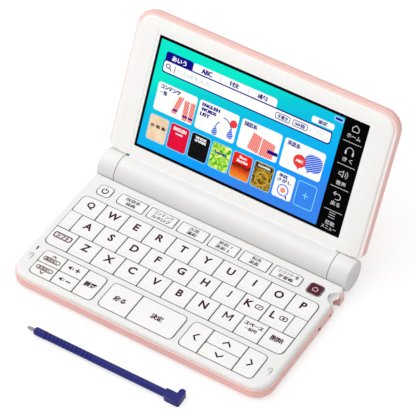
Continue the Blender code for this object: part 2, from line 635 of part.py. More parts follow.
def window_cells():
    """Left, right, front, rear and corner radii of each opening outside the letter rows."""
    cluster_rear = CLUSTER_FRONT + CLUSTER_DEPTH
    radius = CLUSTER_CORNER_RADIUS
    cells = [(group[0], group[-1], CLUSTER_FRONT, cluster_rear, (radius,) * 4) for group in cluster_edges()]
    return cells + [(left, right, FUNCTION_ROW_FRONT, FUNCTION_ROW_FRONT + FUNCTION_KEY_DEPTH, radii)
                    for left, right, radii in function_cells()]


def cluster_edges():
    """Where the keys of the three front groups begin and end, from left to right."""
    shares = (
        (PAGE_KEY_SHARE, VOLUME_KEY_SHARE, HISTORY_KEY_SHARE),
        (BACK_KEY_SHARE, ENTER_KEY_SHARE),
        (SIDE_ARROW_SHARE, MIDDLE_ARROW_SHARE, SIDE_ARROW_SHARE),
    )
    x = CLUSTER_FROM_SIDE - HALF_WIDTH
    unit = (-2 * x - CLUSTER_GAP * (len(shares) - 1)) / sum(sum(group) for group in shares)
    groups = []
    for group in shares:
        edges = [x]
        for share in group:
            x += share * unit
            edges.append(x)
        groups.append(edges)
        x += CLUSTER_GAP
    return groups


def function_cells():
    """Left, right and corner radii of the power key, the function keys and the home key."""
    small, large = KEY_CORNER_RADIUS, FUNCTION_CORNER_RADIUS
    cells = [(-END_KEY_FROM_CENTRE - END_KEY_WIDTH / 2, -END_KEY_FROM_CENTRE + END_KEY_WIDTH / 2, (large,) * 4)]
    for number in range(FUNCTION_KEY_COUNT):
        left = number * FUNCTION_KEY_PITCH - FUNCTION_ROW_HALF_WIDTH
        start = large if number == 0 else small
        end = large if number == FUNCTION_KEY_COUNT - 1 else small
        cells.append((left, left + FUNCTION_KEY_PITCH - FUNCTION_KEY_GAP, (start, end, end, start)))
    cells.append((END_KEY_FROM_CENTRE - END_KEY_WIDTH / 2, END_KEY_FROM_CENTRE + END_KEY_WIDTH / 2, (large,) * 4))
    return cells


def key_cells():
    """Name, left, right, front, rear, corner radii and finish of every key."""
    cells = []
    small = KEY_CORNER_RADIUS

    def radii(front_left=0, front_right=0, rear_right=0, rear_left=0):
        return tuple(max(small, r) for r in (front_left, front_right, rear_right, rear_left))

    names = ["power"] + ["menu_%d" % (n + 1) for n in range(FUNCTION_KEY_COUNT)] + ["home"]
    for name, (left, right, corners) in zip(names, function_cells()):
        cells.append((name, left, right, FUNCTION_ROW_FRONT, FUNCTION_ROW_FRONT + FUNCTION_KEY_DEPTH, corners))

    block_radius = BLOCK_CORNER_RADIUS
    rows = (
        (0, ["shift"] + list("zxcvbnm") + ["space", "delete"], (block_radius, block_radius, 0, 0)),
        (1, list("asdfghjkl"), (0, 0, 0, 0)),
        (2, list("qwertyuiop"), (0, 0, block_radius, block_radius)),
    )
    for row, row_names, corners in rows:
        front = LETTER_BLOCK_FRONT + row * ROW_PITCH
        start = -len(row_names) * KEY_PITCH / 2
        for number, name in enumerate(row_names):
            first, last = number == 0, number == len(row_names) - 1
            shape = radii(corners[0] * first, corners[1] * last, corners[2] * last, corners[3] * first)
            left = start + number * KEY_PITCH
            cells.append((name, left, left + KEY_PITCH, front, front + ROW_PITCH, shape))

    front, rear = CLUSTER_FRONT, CLUSTER_FRONT + CLUSTER_DEPTH
    middle = (front + rear) / 2
    round_ = CLUSTER_CORNER_RADIUS
    left_edges, middle_edges, arrow_edges = cluster_edges()
    cells += [
        ("page_up", left_edges[0], left_edges[1], middle, rear, radii(rear_left=round_)),
        ("page_down", left_edges[0], left_edges[1], front, middle, radii(front_left=round_)),
        ("volume_up", left_edges[1], left_edges[2], middle, rear, radii()),
        ("volume_down", left_edges[1], left_edges[2], front, middle, radii()),
        ("history", left_edges[2], left_edges[3], front, rear, radii(front_right=round_, rear_right=round_)),
        ("back", middle_edges[0], middle_edges[1], front, rear, radii(front_left=round_, rear_left=round_)),
        ("enter", middle_edges[1], middle_edges[2], front, rear, radii(front_right=round_, rear_right=round_)),
        ("left", arrow_edges[0], arrow_edges[1], front, rear, radii(front_left=round_, rear_left=round_)),
        ("up", arrow_edges[1], arrow_edges[2], middle, rear, radii()),
        ("down", arrow_edges[1], arrow_edges[2], front, middle, radii()),
        ("right", arrow_edges[2], arrow_edges[3], front, rear, radii(front_right=round_, rear_right=round_)),
    ]
    return cells


def make_key(name, left, right, front, rear, radii):
    """A hollow key cap with a sloping front band on its top and a stem in its middle."""
    half_gap = KEY_GAP / 2
    low = Vector((left + half_gap, front + half_gap, KEY_BOTTOM))
    high = Vector((right - half_gap, rear - half_gap, KEY_TOP))
    mesh = block(low, high)
    largest = max(radii)
    round_uprights(mesh, [r - half_gap if r > KEY_GAP else r for r in radii], 3 if largest > KEY_GAP else 1)
    band = low.y + min(KEY_SLOPE_BAND, (high.y - low.y) / 3)
    bmesh.ops.bisect_plane(mesh, geom=mesh.verts[:] + mesh.edges[:] + mesh.faces[:], plane_co=(0, band, 0),
                           plane_no=(0, 1, 0))
    for vert in mesh.verts:
        if vert.co.z > (low.z + high.z) / 2 and vert.co.y < band:
            vert.co.z -= KEY_SLOPE_DROP * (band - vert.co.y) / (band - low.y)
    mesh.normal_update()
    rim = [e for e in mesh.edges if len(e.link_faces) == 2
           and max(f.normal.z for f in e.link_faces) > 0.5 and min(f.normal.z for f in e.link_faces) < 0.1]
    bmesh.ops.bevel(mesh, geom=rim, offset=KEY_EDGE_ROUNDING, offset_type="OFFSET", segments=1,
                    profile=0.5, affect="EDGES", clamp_overlap=True)
    hollow(mesh, low, high, largest)
    finish = KEY_MAROON if name == "home" else KEY_WHITE
    add_object("key_" + name, mesh, ((low.x + high.x) / 2, (low.y + high.y) / 2, KEY_TOP), BASE, finish)


def hollow(mesh, low, high, largest_radius):
    """Hollows a key cap from below and leaves a square stem in its middle.

    The wall is thick enough for the pocket's square corner to stay inside the largest rounded one.
    """
    mesh.normal_update()
    bmesh.ops.dissolve_faces(mesh, faces=[f for f in mesh.faces if f.normal.z < -0.9])
    mesh.normal_update()
    face = [f for f in mesh.faces if f.normal.z < -0.9][0]
    centre = (low + high) / 2
    wall = max(KEY_WALL, KEY_WALL / 2 + 0.3 * largest_radius)
    pocket = (high - low).xy / 2 - Vector((wall, wall))
    stem = Vector((STEM_WIDTH, STEM_WIDTH)) / 2
    roof = high.z - KEY_ROOF
    for half, height in ((pocket, low.z), (pocket, roof), (stem, roof), (stem, roof - STEM_LENGTH)):
        face = extruded(mesh, face)
        for vert in face.verts:
            vert.co.x = centre.x + math.copysign(half.x, vert.co.x - centre.x)
            vert.co.y = centre.y + math.copysign(half.y, vert.co.y - centre.y)
            vert.co.z = height
    bmesh.ops.remove_doubles(mesh, verts=mesh.verts, dist=KEY_EDGE_ROUNDING / 100)


def extruded(mesh, face):
    """Extrudes one face in place and returns the new face."""
    return bmesh.ops.extrude_discrete_faces(mesh, faces=[face])["faces"][0]


def make_keys():
    for cell in key_cells():
        make_key(*cell)


def make_key_board():
    board = block((-BOARD_WIDTH / 2, BOARD_FRONT, BOARD_UNDERSIDE), (BOARD_WIDTH / 2, BOARD_REAR, BOARD_TOP))
    item = add_object("key_board", board, (0, 0, 0), BASE, BOARD_GREEN)
    domes = []
    for name, left, right, front, rear, radii in key_cells():
        x, y = (left + right) / 2, (front + rear) / 2
        limit = BOARD_WIDTH / 2 - DOME_FOOT_RADIUS * 1.2
        x = max(-limit, min(limit, x))
        domes.append(upright_cylinder(DOME_FOOT_RADIUS, (x, y, BOARD_TOP - DOME_ROOT), BOARD_TOP + DOME_HEIGHT, 6,
                                      DOME_TOP_RADIUS))
    add(item, "domes", joined(domes))


def make_hinge_cap(side):
    """White end cap of the barrel, with the hinge pin, the tab that hooks into the base, and a foot."""
    inner_x = side * (BARREL_HALF_LENGTH + PIECE_GAP)
    outer_x = side * (HALF_WIDTH - CAP_FROM_SIDE)
    body = side_cylinder(BARREL_RADIUS, inner_x, outer_x, HINGE.y, HINGE.z, BARREL_SIDES)
    body.normal_update()
    end_edges = [e for e in body.edges if all(abs(v.co.x - outer_x) < CAP_EDGE_ROUNDING / 10 for v in e.verts)]
    bmesh.ops.bevel(body, geom=end_edges, offset=CAP_EDGE_ROUNDING, offset_type="OFFSET", segments=2,
                    profile=0.5, affect="EDGES", clamp_overlap=False)
    name = "hinge_cap_right" if side > 0 else "hinge_cap_left"
    cap = add_object(name, body, HINGE, BASE, WHITE_PLASTIC)

    pin = side_cylinder(PIN_RADIUS, inner_x - side * PIN_LENGTH, inner_x + side * PIN_LENGTH / 2, HINGE.y, HINGE.z, 16)
    foot_x = (inner_x + outer_x) / 2
    foot = upright_cylinder(REAR_FOOT_RADIUS, (foot_x, HINGE.y, 0), HINGE.z - BARREL_RADIUS / 2, 16)
    tab_inner, tab_outer = tab_span(side)
    hook_front = CASE_INNER_REAR - PIECE_GAP - HOOK_THICKNESS
    tab = block((tab_inner, hook_front + HOOK_THICKNESS / 2, CAP_TAB_BOTTOM), (tab_outer, HINGE.y - BARREL_RADIUS / 3, CAP_TAB_TOP))
    hook_outer = min(abs(tab_outer) + HOOK_LIP, CASE_INNER_HALF_WIDTH - PIECE_GAP)
    hook = block((tab_inner - side * HOOK_LIP, hook_front, CAP_TAB_BOTTOM - HOOK_LIP / 2),
                 (side * hook_outer, CASE_INNER_REAR - PIECE_GAP, CAP_TAB_TOP))
    add(cap, name + "_pin_and_foot", joined([pin, foot]))
    add(cap, name + "_tab", merged(tab, hook))


def make_lid_frame():
    half = LID_HALF_WIDTH - COVER_WALL - PIECE_GAP
    front = LID_FRONT + COVER_WALL + PIECE_GAP
    face = block((-half, front, LID_FACE), (half, LID_REAR, LID_FACE + LID_FACE_THICKNESS))
    radius = FRONT_CORNER_RADIUS - COVER_WALL - PIECE_GAP
    rear_radius = LID_REAR_CORNER_RADIUS - COVER_WALL - PIECE_GAP
    round_uprights(face, (radius, radius, rear_radius, rear_radius), 5)
    round_rim(face, LID_FACE, LID_FACE_ROUNDING, 3, keep=not_at_lid_rear)
    frame = add_object("lid_frame", face, HINGE, LID, WHITE_PLASTIC)

    barrel = side_cylinder(BARREL_RADIUS, -BARREL_HALF_LENGTH, BARREL_HALF_LENGTH, HINGE.y, HINGE.z, BARREL_SIDES)
    add(frame, "barrel", barrel)
    web_half = BARREL_HALF_LENGTH - PIECE_GAP
    web = block((-web_half, LID_REAR - LID_RIB_THICKNESS / 2, LID_FACE + LID_FACE_ROUNDING),
                (web_half, LID_REAR + LID_WEB_DEPTH, LID_FACE + LID_WEB_HEIGHT))
    add(frame, "barrel_web", web)
    rib = block((-half + rear_radius, LID_REAR - LID_RIB_THICKNESS, LID_FACE + LID_FACE_THICKNESS / 2),
                (half - rear_radius, LID_REAR - PIECE_GAP / 3, LID_FACE + LID_WEB_HEIGHT - PIECE_GAP / 3))
    add(frame, "rear_rib", rib)
    add(frame, "lid_posts", joined(lid_posts()))

    bay = side_cylinder(BAY_INNER_RADIUS, -BAY_HALF_LENGTH, BAY_HALF_LENGTH, HINGE.y, HINGE.z, 32)
    bore_from = BARREL_HALF_LENGTH - PIN_LENGTH - PIECE_GAP
    bores = [
        side_cylinder(PIN_RADIUS + PIECE_GAP, side * bore_from, side * (BARREL_HALF_LENGTH + OVERRUN), HINGE.y, HINGE.z, 16)
        for side in (-1, 1)
    ]
    cut(frame, "battery_bay", joined([bay] + bores))
    cut(frame, "battery_opening", battery_side(BAY_HALF_LENGTH + PIECE_GAP, BATTERY_SPLIT_OFFSET))

    step_half = GLASS_WIDTH / 2 + PIECE_GAP + STEP_MARGIN
    step = block((-step_half, GLASS_FRONT - PIECE_GAP - STEP_MARGIN, LID_FACE - OVERRUN),
                 (step_half, GLASS_REAR + PIECE_GAP + STEP_MARGIN, LID_FACE + STEP_DEPTH))
    round_uprights(step, (STEP_MARGIN,) * 4, 3)
    cut(frame, "screen_step", step)
    pocket = block((-GLASS_WIDTH / 2 - PIECE_GAP, GLASS_FRONT - PIECE_GAP, LID_FACE - OVERRUN),
                   (GLASS_WIDTH / 2 + PIECE_GAP, GLASS_REAR + PIECE_GAP, GLASS_FACE + GLASS_THICKNESS + PIECE_GAP))
    cut(frame, "glass_pocket", pocket)
    panel_half = GLASS_WIDTH / 2 - PANEL_INSET + PIECE_GAP
    window = block((-panel_half, GLASS_FRONT + PANEL_INSET - PIECE_GAP, LID_FACE),
                   (panel_half, GLASS_REAR - PANEL_INSET + PIECE_GAP, LID_FACE + LID_FACE_THICKNESS + OVERRUN))
    cut(frame, "panel_window", window)


def not_at_lid_rear(edge):
    """True for an edge that isn't on the straight side of the lid along the barrel."""
    return min(v.co.y for v in edge.verts) < LID_REAR - PIECE_GAP / 100


def lid_posts():
    """Posts on the back of the lid frame that meet the cover."""
    top = LID_BACK - COVER_BACK - PIECE_GAP
    y_places = (LID_FRONT + LID_POST_FROM_END, LID_REAR - LID_POST_FROM_END)
    x_place = HALF_WIDTH - LID_POST_FROM_SIDE
    return [
        upright_cylinder(LID_POST_RADIUS, (side * x_place, y, LID_FACE + LID_FACE_THICKNESS / 2), top, 10)
        for side in (-1, 1) for y in y_places
    ]


def battery_side(half_length, offset):
    """Box on the side of the barrel that the battery cover closes, offset from the barrel's axis."""
    reach = BARREL_RADIUS + BATTERY_WALL / 2
    box = block((-half_length, offset, -reach), (half_length, reach + OVERRUN, reach))
    turn = Matrix.Rotation(math.radians(BATTERY_COVER_DIRECTION), 3, "X")
    bmesh.ops.rotate(box, cent=(0, 0, 0), matrix=turn, verts=box.verts)
    bmesh.ops.translate(box, vec=HINGE, verts=box.verts)
    return box


def make_battery_cover():
    """Half pipe that closes the barrel; it pulls straight off."""
    pipe = side_cylinder(BARREL_RADIUS, -BAY_HALF_LENGTH, BAY_HALF_LENGTH, HINGE.y, HINGE.z, BARREL_SIDES)
    cover = add_object("battery_cover", pipe, HINGE, LID, WHITE_PLASTIC)
    reach = BARREL_RADIUS + OVERRUN
    keep = battery_side(reach + BAY_HALF_LENGTH, BATTERY_SPLIT_OFFSET + PIECE_GAP)
    combine(cover, "battery_half", keep, "INTERSECT")
    inner = side_cylinder(BAY_INNER_RADIUS, -BAY_HALF_LENGTH - OVERRUN, BAY_HALF_LENGTH + OVERRUN, HINGE.y, HINGE.z, 32)
    cut(cover, "battery_hollow", inner)


def turned(name, profile, origin, parent, finish, sides):
    """Turns a profile of (x, radius) points about X; the profile runs from the low end to the high end."""
    mesh = bmesh.new()
    verts = [mesh.verts.new((radius, 0, -x)) for x, radius in profile]
    for a, b in zip(verts, verts[1:]):
        mesh.edges.new((a, b))
    data = bpy.data.meshes.new(name)
    mesh.to_mesh(data)
    mesh.free()
    data.materials.append(new_material(name, finish))
    item = bpy.data.objects.new(name, data)
    item.location = Vector(origin) - PARENT_ORIGIN[parent.name]
    item.rotation_euler = (0, -math.radians(90), 0)
    item.parent = parent
    PARTS.objects.link(item)
    screw = item.modifiers.new("turn", "SCREW")
    screw.axis = "Z"
    screw.steps = sides
    screw.render_steps = sides
    screw.use_merge_vertices = True
    screw.merge_threshold = 0.00001
    screw.use_smooth_shade = True
    return item


def make_battery_cells():
    """Two cells end to end: each has its contact nub towards +X."""
    profile = []
    for start in (-CELL_LENGTH, 0.0):
        body_end = start + CELL_LENGTH - CELL_NUB_LENGTH
        first = 0.0 if start < 0 else CELL_NUB_RADIUS
        profile += [(start, first), (start, CELL_RADIUS), (body_end, CELL_RADIUS), (body_end, CELL_NUB_RADIUS)]
    profile += [(CELL_LENGTH, CELL_NUB_RADIUS), (CELL_LENGTH, 0.0)]
    turned("battery_cells", profile, HINGE, LID, CELL_METAL, 24)


def make_lid_cover():
    rim = LID_FACE + COVER_RIM_SETBACK
    outer = block((-LID_HALF_WIDTH, LID_FRONT, rim), (LID_HALF_WIDTH, LID_REAR, LID_BACK))
    round_uprights(outer, (FRONT_CORNER_RADIUS,) * 2 + (LID_REAR_CORNER_RADIUS,) * 2, 6)
    round_rim(outer, LID_BACK, COVER_ROUNDING, 4)
    round_rim(outer, rim, COVER_RIM_ROUNDING, 1)
    cover = add_object("lid_cover", outer, HINGE, LID, PINK_PLASTIC)
    inner_half = LID_HALF_WIDTH - COVER_WALL
    inside = block((-inner_half, LID_FRONT + COVER_WALL, rim - OVERRUN), (inner_half, LID_REAR - COVER_WALL, LID_BACK - COVER_BACK))
    round_uprights(inside, (FRONT_CORNER_RADIUS - COVER_WALL,) * 2 + (LID_REAR_CORNER_RADIUS - COVER_WALL,) * 2, 5)
    cut(cover, "cover_inside", inside)
    mouth = block((-inner_half, LID_REAR - LID_RIB_THICKNESS * 2, rim - OVERRUN),
                  (inner_half, LID_REAR + OVERRUN, LID_FACE + LID_WEB_HEIGHT + PIECE_GAP))
    cut(cover, "cover_mouth", mouth)


def make_display_module():
    """Touch glass with the narrower display panel on its back."""
    half = GLASS_WIDTH / 2
    glass = block((-half, GLASS_FRONT, GLASS_FACE), (half, GLASS_REAR, GLASS_FACE + GLASS_THICKNESS))
    top = [f for f in glass.faces if f.normal.z > 0.9]
    bmesh.ops.inset_region(glass, faces=top, thickness=PANEL_INSET, use_even_offset=True)
    bmesh.ops.translate(glass, vec=(0, 0, PANEL_THICKNESS), verts=extruded(glass, top[0]).verts)
    bmesh.ops.remove_doubles(glass, verts=glass.verts, dist=PIECE_GAP / 100)
    add_object("display_module", glass, HINGE, LID, SCREEN_BLACK)


def make_port_cover():
    """Small flap over the socket in the right side, hinged at its front end, with a nick for a nail."""
    hinge = Vector((HALF_WIDTH, PORT_FROM_FRONT, PORT_COVER_BOTTOM + PORT_COVER_HEIGHT / 2))
    flap = block((HALF_WIDTH - PORT_COVER_THICKNESS, PORT_FROM_FRONT, PORT_COVER_BOTTOM),
                 (HALF_WIDTH, PORT_FROM_FRONT + PORT_COVER_LENGTH, PORT_COVER_BOTTOM + PORT_COVER_HEIGHT))
    item = add_object("port_cover", flap, hinge, BASE, PINK_PLASTIC)
    nick = side_cylinder(PORT_NAIL_NOTCH, HALF_WIDTH - PORT_NAIL_DEPTH, HALF_WIDTH + OVERRUN,
                         PORT_FROM_FRONT + PORT_COVER_LENGTH, PORT_COVER_BOTTOM + PORT_COVER_HEIGHT / 2, 12)
    cut(item, "nail_nick", nick)


def stylus_profile():
    """The stylus from its point to its head, as distance from the point and radius."""
    neck = STYLUS_TIP_LENGTH
    collar_end = neck + STYLUS_COLLAR_LENGTH
    step = STYLUS_RIB_CUT
    points = [
        (0, 0), (step, STYLUS_TIP_RADIUS / 2), (STYLUS_NOSE_LENGTH, STYLUS_TIP_RADIUS),
        (neck, STYLUS_TIP_RADIUS), (neck, STYLUS_RADIUS * 0.75), (neck + step * 2, STYLUS_COLLAR_RADIUS),
        (collar_end, STYLUS_COLLAR_RADIUS), (collar_end, STYLUS_GROOVE_RADIUS),
        (collar_end + step * 2, STYLUS_GROOVE_RADIUS),
    ]
    x = collar_end + step * 2
    for number in range(STYLUS_RIB_COUNT):
        points += [(x, STYLUS_RADIUS), (x + STYLUS_RIB_PITCH - step * 2, STYLUS_RADIUS)]
        x += STYLUS_RIB_PITCH
        if number < STYLUS_RIB_COUNT - 1:
            points += [(x - step, STYLUS_RADIUS - step)]
    points += [(STYLUS_LENGTH - HEAD_LENGTH / 2, STYLUS_RADIUS), (STYLUS_LENGTH - HEAD_LENGTH / 2, 0)]
    return points


def make_stylus():
    """The stylus lies on its collar and on its flat head, whose arm fills the notch when it is put away."""
    item = turned("stylus", stylus_profile(), STYLUS_TIP, STYLUS, STYLUS_BLUE, STYLUS_SIDES)
    end = STYLUS_TIP.x + STYLUS_LENGTH
    y = STYLUS_TIP.y
    top = 2 * STYLUS_COLLAR_RADIUS
    body = block((end - HEAD_LENGTH, y - STYLUS_RADIUS - HEAD_OFFSET, 0), (end, y + STYLUS_RADIUS, top))
    round_uprights(body, (STYLUS_RADIUS, HEAD_ROUNDING, 0, 0), 3)
    step = HEAD_ROUNDING / 12
    arm = block((end - HEAD_ARM_WIDTH, y, step), (end - step, y + HEAD_ARM_REACH, top - step))
    round_uprights(arm, (0, 0, HEAD_ARM_ROUNDING, HEAD_ARM_ROUNDING), 4)
    add(item, "stylus_head", merged(body, arm))


clear_scene()
PARTS = new_collection("electronic_dictionary")
CUTTERS = new_collection("cutters")
PARENT_ORIGIN = {"base_frame": Vector((0, 0, 0)), "lid_hinge_axis": HINGE, "stylus_rest": STYLUS_TIP}
BASE = new_empty("base_frame", (0, -ORIGIN_FROM_FRONT, 0))
LID = new_empty("lid_hinge_axis", HINGE, BASE)
LID.rotation_euler = (-math.radians(LID_OPEN_ANGLE), 0, 0)
STYLUS = new_empty("stylus_rest", STYLUS_TIP, BASE)
STYLUS.rotation_euler = (0, 0, math.radians(STYLUS_TURN))

make_lower_case()
make_upper_case()
make_keys()
make_key_board()
for cap_side in (-1, 1):
    make_hinge_cap(cap_side)
make_lid_frame()
make_lid_cover()
make_display_module()
make_battery_cells()
make_battery_cover()
make_port_cover()
make_stylus()
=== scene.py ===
"""Electronic dictionary: finishes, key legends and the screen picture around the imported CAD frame.

Laid out as a Blender add-on and run as a script. Lengths are written in millimetres and turned into metres
where a mesh or a setting takes them. What lies on the lid is drawn flat, as (across, up the lid), and is
then laid on its face.
"""

import math

import bpy
from bpy.props import FloatProperty, FloatVectorProperty, PointerProperty
from mathutils import Matrix, Vector


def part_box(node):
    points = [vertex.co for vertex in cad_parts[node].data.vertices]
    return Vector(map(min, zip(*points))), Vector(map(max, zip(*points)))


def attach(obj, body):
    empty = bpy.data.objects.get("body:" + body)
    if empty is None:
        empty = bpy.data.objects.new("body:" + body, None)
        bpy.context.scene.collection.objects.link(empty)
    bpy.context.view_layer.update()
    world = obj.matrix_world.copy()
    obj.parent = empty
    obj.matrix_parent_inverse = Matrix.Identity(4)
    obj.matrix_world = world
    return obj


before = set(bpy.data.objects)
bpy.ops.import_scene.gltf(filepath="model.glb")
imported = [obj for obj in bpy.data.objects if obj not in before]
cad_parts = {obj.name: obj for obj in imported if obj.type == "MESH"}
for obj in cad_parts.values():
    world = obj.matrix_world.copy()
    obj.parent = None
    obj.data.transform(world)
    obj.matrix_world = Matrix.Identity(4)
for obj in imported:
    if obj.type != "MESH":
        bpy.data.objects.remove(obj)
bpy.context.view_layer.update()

bl_info = {
    "name": "Electronic dictionary",
    "version": (1, 0, 0),
    "blender": (4, 5, 0),
    "location": "3D View > Sidebar > Dictionary",
    "description": "Finishes, key legends and screen picture of an electronic dictionary",
    "category": "Object",
}

MM = 0.001

# The lid at rest: its hinge line, and the turn that lays a flat drawing on its face.
HINGE = Vector((0.0, 33.091, 9.9))
LID_PLACE = Matrix.Translation(HINGE * MM) @ Matrix.Rotation(math.radians(64.8), 4, "X")
LID_FACING = LID_PLACE.to_3x3() @ Vector((0, 0, 1))
BARREL_RADIUS = 8.5
GLASS_LEVEL = -0.8
# Turns a drawing in the flat plane, (along, up), to face sideways, along the across axis.
END_ON = Matrix(((0, 0, 1, 0), (1, 0, 0, 0), (0, 1, 0, 0), (0, 0, 0, 1)))

KEY_NODES = [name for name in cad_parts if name.startswith("key_") and name != "key_board"]
PINK_NODES = ("lower_case", "lid_cover", "port_cover")
WHITE_NODES = ("upper_case", "lid_frame", "hinge_cap_left", "hinge_cap_right", "battery_cover")
SMOOTH_ANGLE = math.radians(32)
SPECULAR = "Specular IOR Level"
KEY_GRAIN = 3400.0
# Height of the deck's top face.
DECK = 9.5

LETTERS = "qwertyuiopasdfghjklzxcvbnm"
MARKED_LETTERS = "kl"
MENU_WORDS = (
    (("国語系", 8.4), ("辞典", 5.6)), (("コンテンツ", 11.2), ("カタログ", 11.0)), (("古語", 5.5), ("漢和", 5.5)),
    (("英和 1", 7.8), ("英和 2", 7.8)), (("和英", 5.5), ("英英", 5.5)), (("コンテンツ一覧", 11.8), ("学習帳", 8.6)))


def srgb(red, green, blue):
    """Turns a screen colour, 0 to 255, into the linear colour that a socket takes."""
    def linear(value):
        value /= 255
        return value / 12.92 if value <= 0.04045 else ((value + 0.055) / 1.055) ** 2.4
    return (linear(red), linear(green), linear(blue), 1.0)


def opaque(colour):
    return (*colour[:3], 1.0)


def grey(value):
    return (value, value, value, 1.0)


def box(name):
    """The lowest and the highest corner of a CAD node."""
    return [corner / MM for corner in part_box(name)]


# ---------------------------------------------------------------- settings

class FinishSettings(bpy.types.PropertyGroup):
    """Colours and surface of the moulded parts."""
    white: FloatVectorProperty(name="White case", description="Colour of the white plastic", subtype="COLOR",
                               default=(0.85, 0.84, 0.822), min=0, max=1)
    pink: FloatVectorProperty(name="Pink case", description="Colour of the coloured plastic", subtype="COLOR",
                              default=(0.84, 0.465, 0.43), min=0, max=1)
    # Painted light: a lighter copy of the case white, for the stronger light on the lid's face.
    lit_lid_white: FloatVectorProperty(name="White lid", description="Colour of the lid's white face", subtype="COLOR",
                                   default=(0.89, 0.88, 0.86), min=0, max=1)
    # Painted highlight: the paler colour that stands in for the light on the thin rims.
    pink_rim_highlight: FloatVectorProperty(name="Pink rim", description="Colour of the coloured plastic's thin, lit rims",
                                  subtype="COLOR", default=(0.91, 0.68, 0.63), min=0, max=1)
    key: FloatVectorProperty(name="Key", description="Colour of the key tops", subtype="COLOR",
                             default=(0.905, 0.895, 0.877), min=0, max=1)
    # Painted shade: this dark is laid on the keys' walls and on the deck's walls in the key openings, where the seams
    # stand in shade.
    seam: FloatVectorProperty(name="Seam", description="Colour of the walls down in the keys' seams", subtype="COLOR",
                              default=(0.014, 0.014, 0.015), min=0, max=1)
    maroon: FloatVectorProperty(name="Home key", description="Colour of the home key's top", subtype="COLOR",
                                default=(0.078, 0.008, 0.018), min=0, max=1)
    stylus: FloatVectorProperty(name="Stylus", description="Colour of the stylus", subtype="COLOR",
                                default=(0.017, 0.020, 0.170), min=0, max=1)
    grain: FloatProperty(name="Grain", description="Fine bumps in each metre of moulded plastic",
                         default=2600.0, min=100.0, max=20000.0)
    grain_depth: FloatProperty(name="Grain depth", description="Height of the moulded grain", unit="LENGTH",
                               default=0.02 * MM, min=0.0, max=0.2 * MM)


class LegendSettings(bpy.types.PropertyGroup):
    """The printed marks on the keys."""
    ink: FloatVectorProperty(name="Ink", description="Colour of the printed legends", subtype="COLOR",
                             default=(0.040, 0.005, 0.012), min=0, max=1)
    word_ink: FloatVectorProperty(name="Word ink", description="Colour of the small words, which look redder",
                                  subtype="COLOR", default=(0.130, 0.034, 0.040), min=0, max=1)
    letter_height: FloatProperty(name="Letter height", description="Height of a capital letter", unit="LENGTH",
                                 default=4.6 * MM, min=1 * MM, max=9 * MM)
    boldness: FloatProperty(name="Boldness", description="How far a letter's outline is pushed out, in letter sizes",
                            default=0.034, min=0.0, max=0.08)
    word_boldness: FloatProperty(name="Word boldness", description="The same for the small words", default=0.018,
                                 min=0.0, max=0.08)
    rearward: FloatProperty(name="Rearward shift", description="From a letter key's middle to its legend",
                            unit="LENGTH", default=1.1 * MM, min=-3 * MM, max=3 * MM)
    thickness: FloatProperty(name="Ink thickness", description="How far the print stands over the key",
                             unit="LENGTH", default=0.015 * MM, min=0.001 * MM, max=0.1 * MM)


class ScreenSettings(bpy.types.PropertyGroup):
    """The picture on the screen, measured on the glass from the hinge line and the middle."""
    left: FloatProperty(name="Left", description="Left edge of the picture", unit="LENGTH", default=-59.3 * MM)
    right: FloatProperty(name="Right", description="Right edge of the picture", unit="LENGTH", default=47.2 * MM)
    low: FloatProperty(name="Bottom", description="Bottom edge of the picture", unit="LENGTH", default=16.95 * MM)
    high: FloatProperty(name="Top", description="Top edge of the picture", unit="LENGTH", default=76.4 * MM)
    layer: FloatProperty(name="Layer", description="Thickness of one layer of the picture", unit="LENGTH",
                         default=0.02 * MM, min=0.005 * MM, max=0.1 * MM)
    teal: FloatVectorProperty(name="Teal", description="Picture colour at the top left", subtype="COLOR",
                              default=srgb(2, 236, 206)[:3], min=0, max=1)
    blue: FloatVectorProperty(name="Blue", description="Picture colour at the bottom right", subtype="COLOR",
                              default=srgb(56, 134, 240)[:3], min=0, max=1)
    navy: FloatVectorProperty(name="Navy", description="Colour of the lines and words", subtype="COLOR",
                              default=srgb(4, 2, 136)[:3], min=0, max=1)
    coral: FloatVectorProperty(name="Coral", description="Colour of the warm motifs", subtype="COLOR",
                               default=srgb(236, 84, 78)[:3], min=0, max=1)


class StageSettings(bpy.types.PropertyGroup):
    """Camera, lamps and floor."""
    eye: FloatVectorProperty(name="Camera", description="Where the camera stands", subtype="TRANSLATION",
                             unit="LENGTH", default=(0.44349, -0.69100, 0.94064))
    lens: FloatProperty(name="Lens", description="Focal length of the camera", unit="CAMERA", default=214.6)
    sky: FloatProperty(name="Sky", description="Strength of the even light", default=0.50, min=0.0, max=2.0)
    key_lamp: FloatProperty(name="Overhead lamp", description="Power of the lamp above", unit="POWER", default=10.0)
    side_lamp: FloatProperty(name="Side lamp", description="Power of the lamp on the left", unit="POWER", default=5.0)
    front_lamp: FloatProperty(name="Front lamp", description="Power of the lamp in front", unit="POWER", default=7.0)
    floor_lift: FloatProperty(name="Floor lift", description="Light added to the floor where the camera sees it",
                              default=0.62, min=0.0, max=1.0)


# ---------------------------------------------------------------- modelling helpers

def metres(*lengths):
    return [length * MM for length in lengths]


def clear_selection():
    if bpy.context.mode != "OBJECT":
        bpy.ops.object.mode_set(mode="OBJECT")
    bpy.ops.object.select_all(action="DESELECT")


def apply_place():
    bpy.ops.object.transform_apply(location=True, rotation=True, scale=True)


def in_edit_mode(action):
    """Runs one edit-mode action on the active mesh with all of it selected."""
    bpy.ops.object.mode_set(mode="EDIT")
    bpy.ops.mesh.select_all(action="SELECT")
    action()
    bpy.ops.object.mode_set(mode="OBJECT")


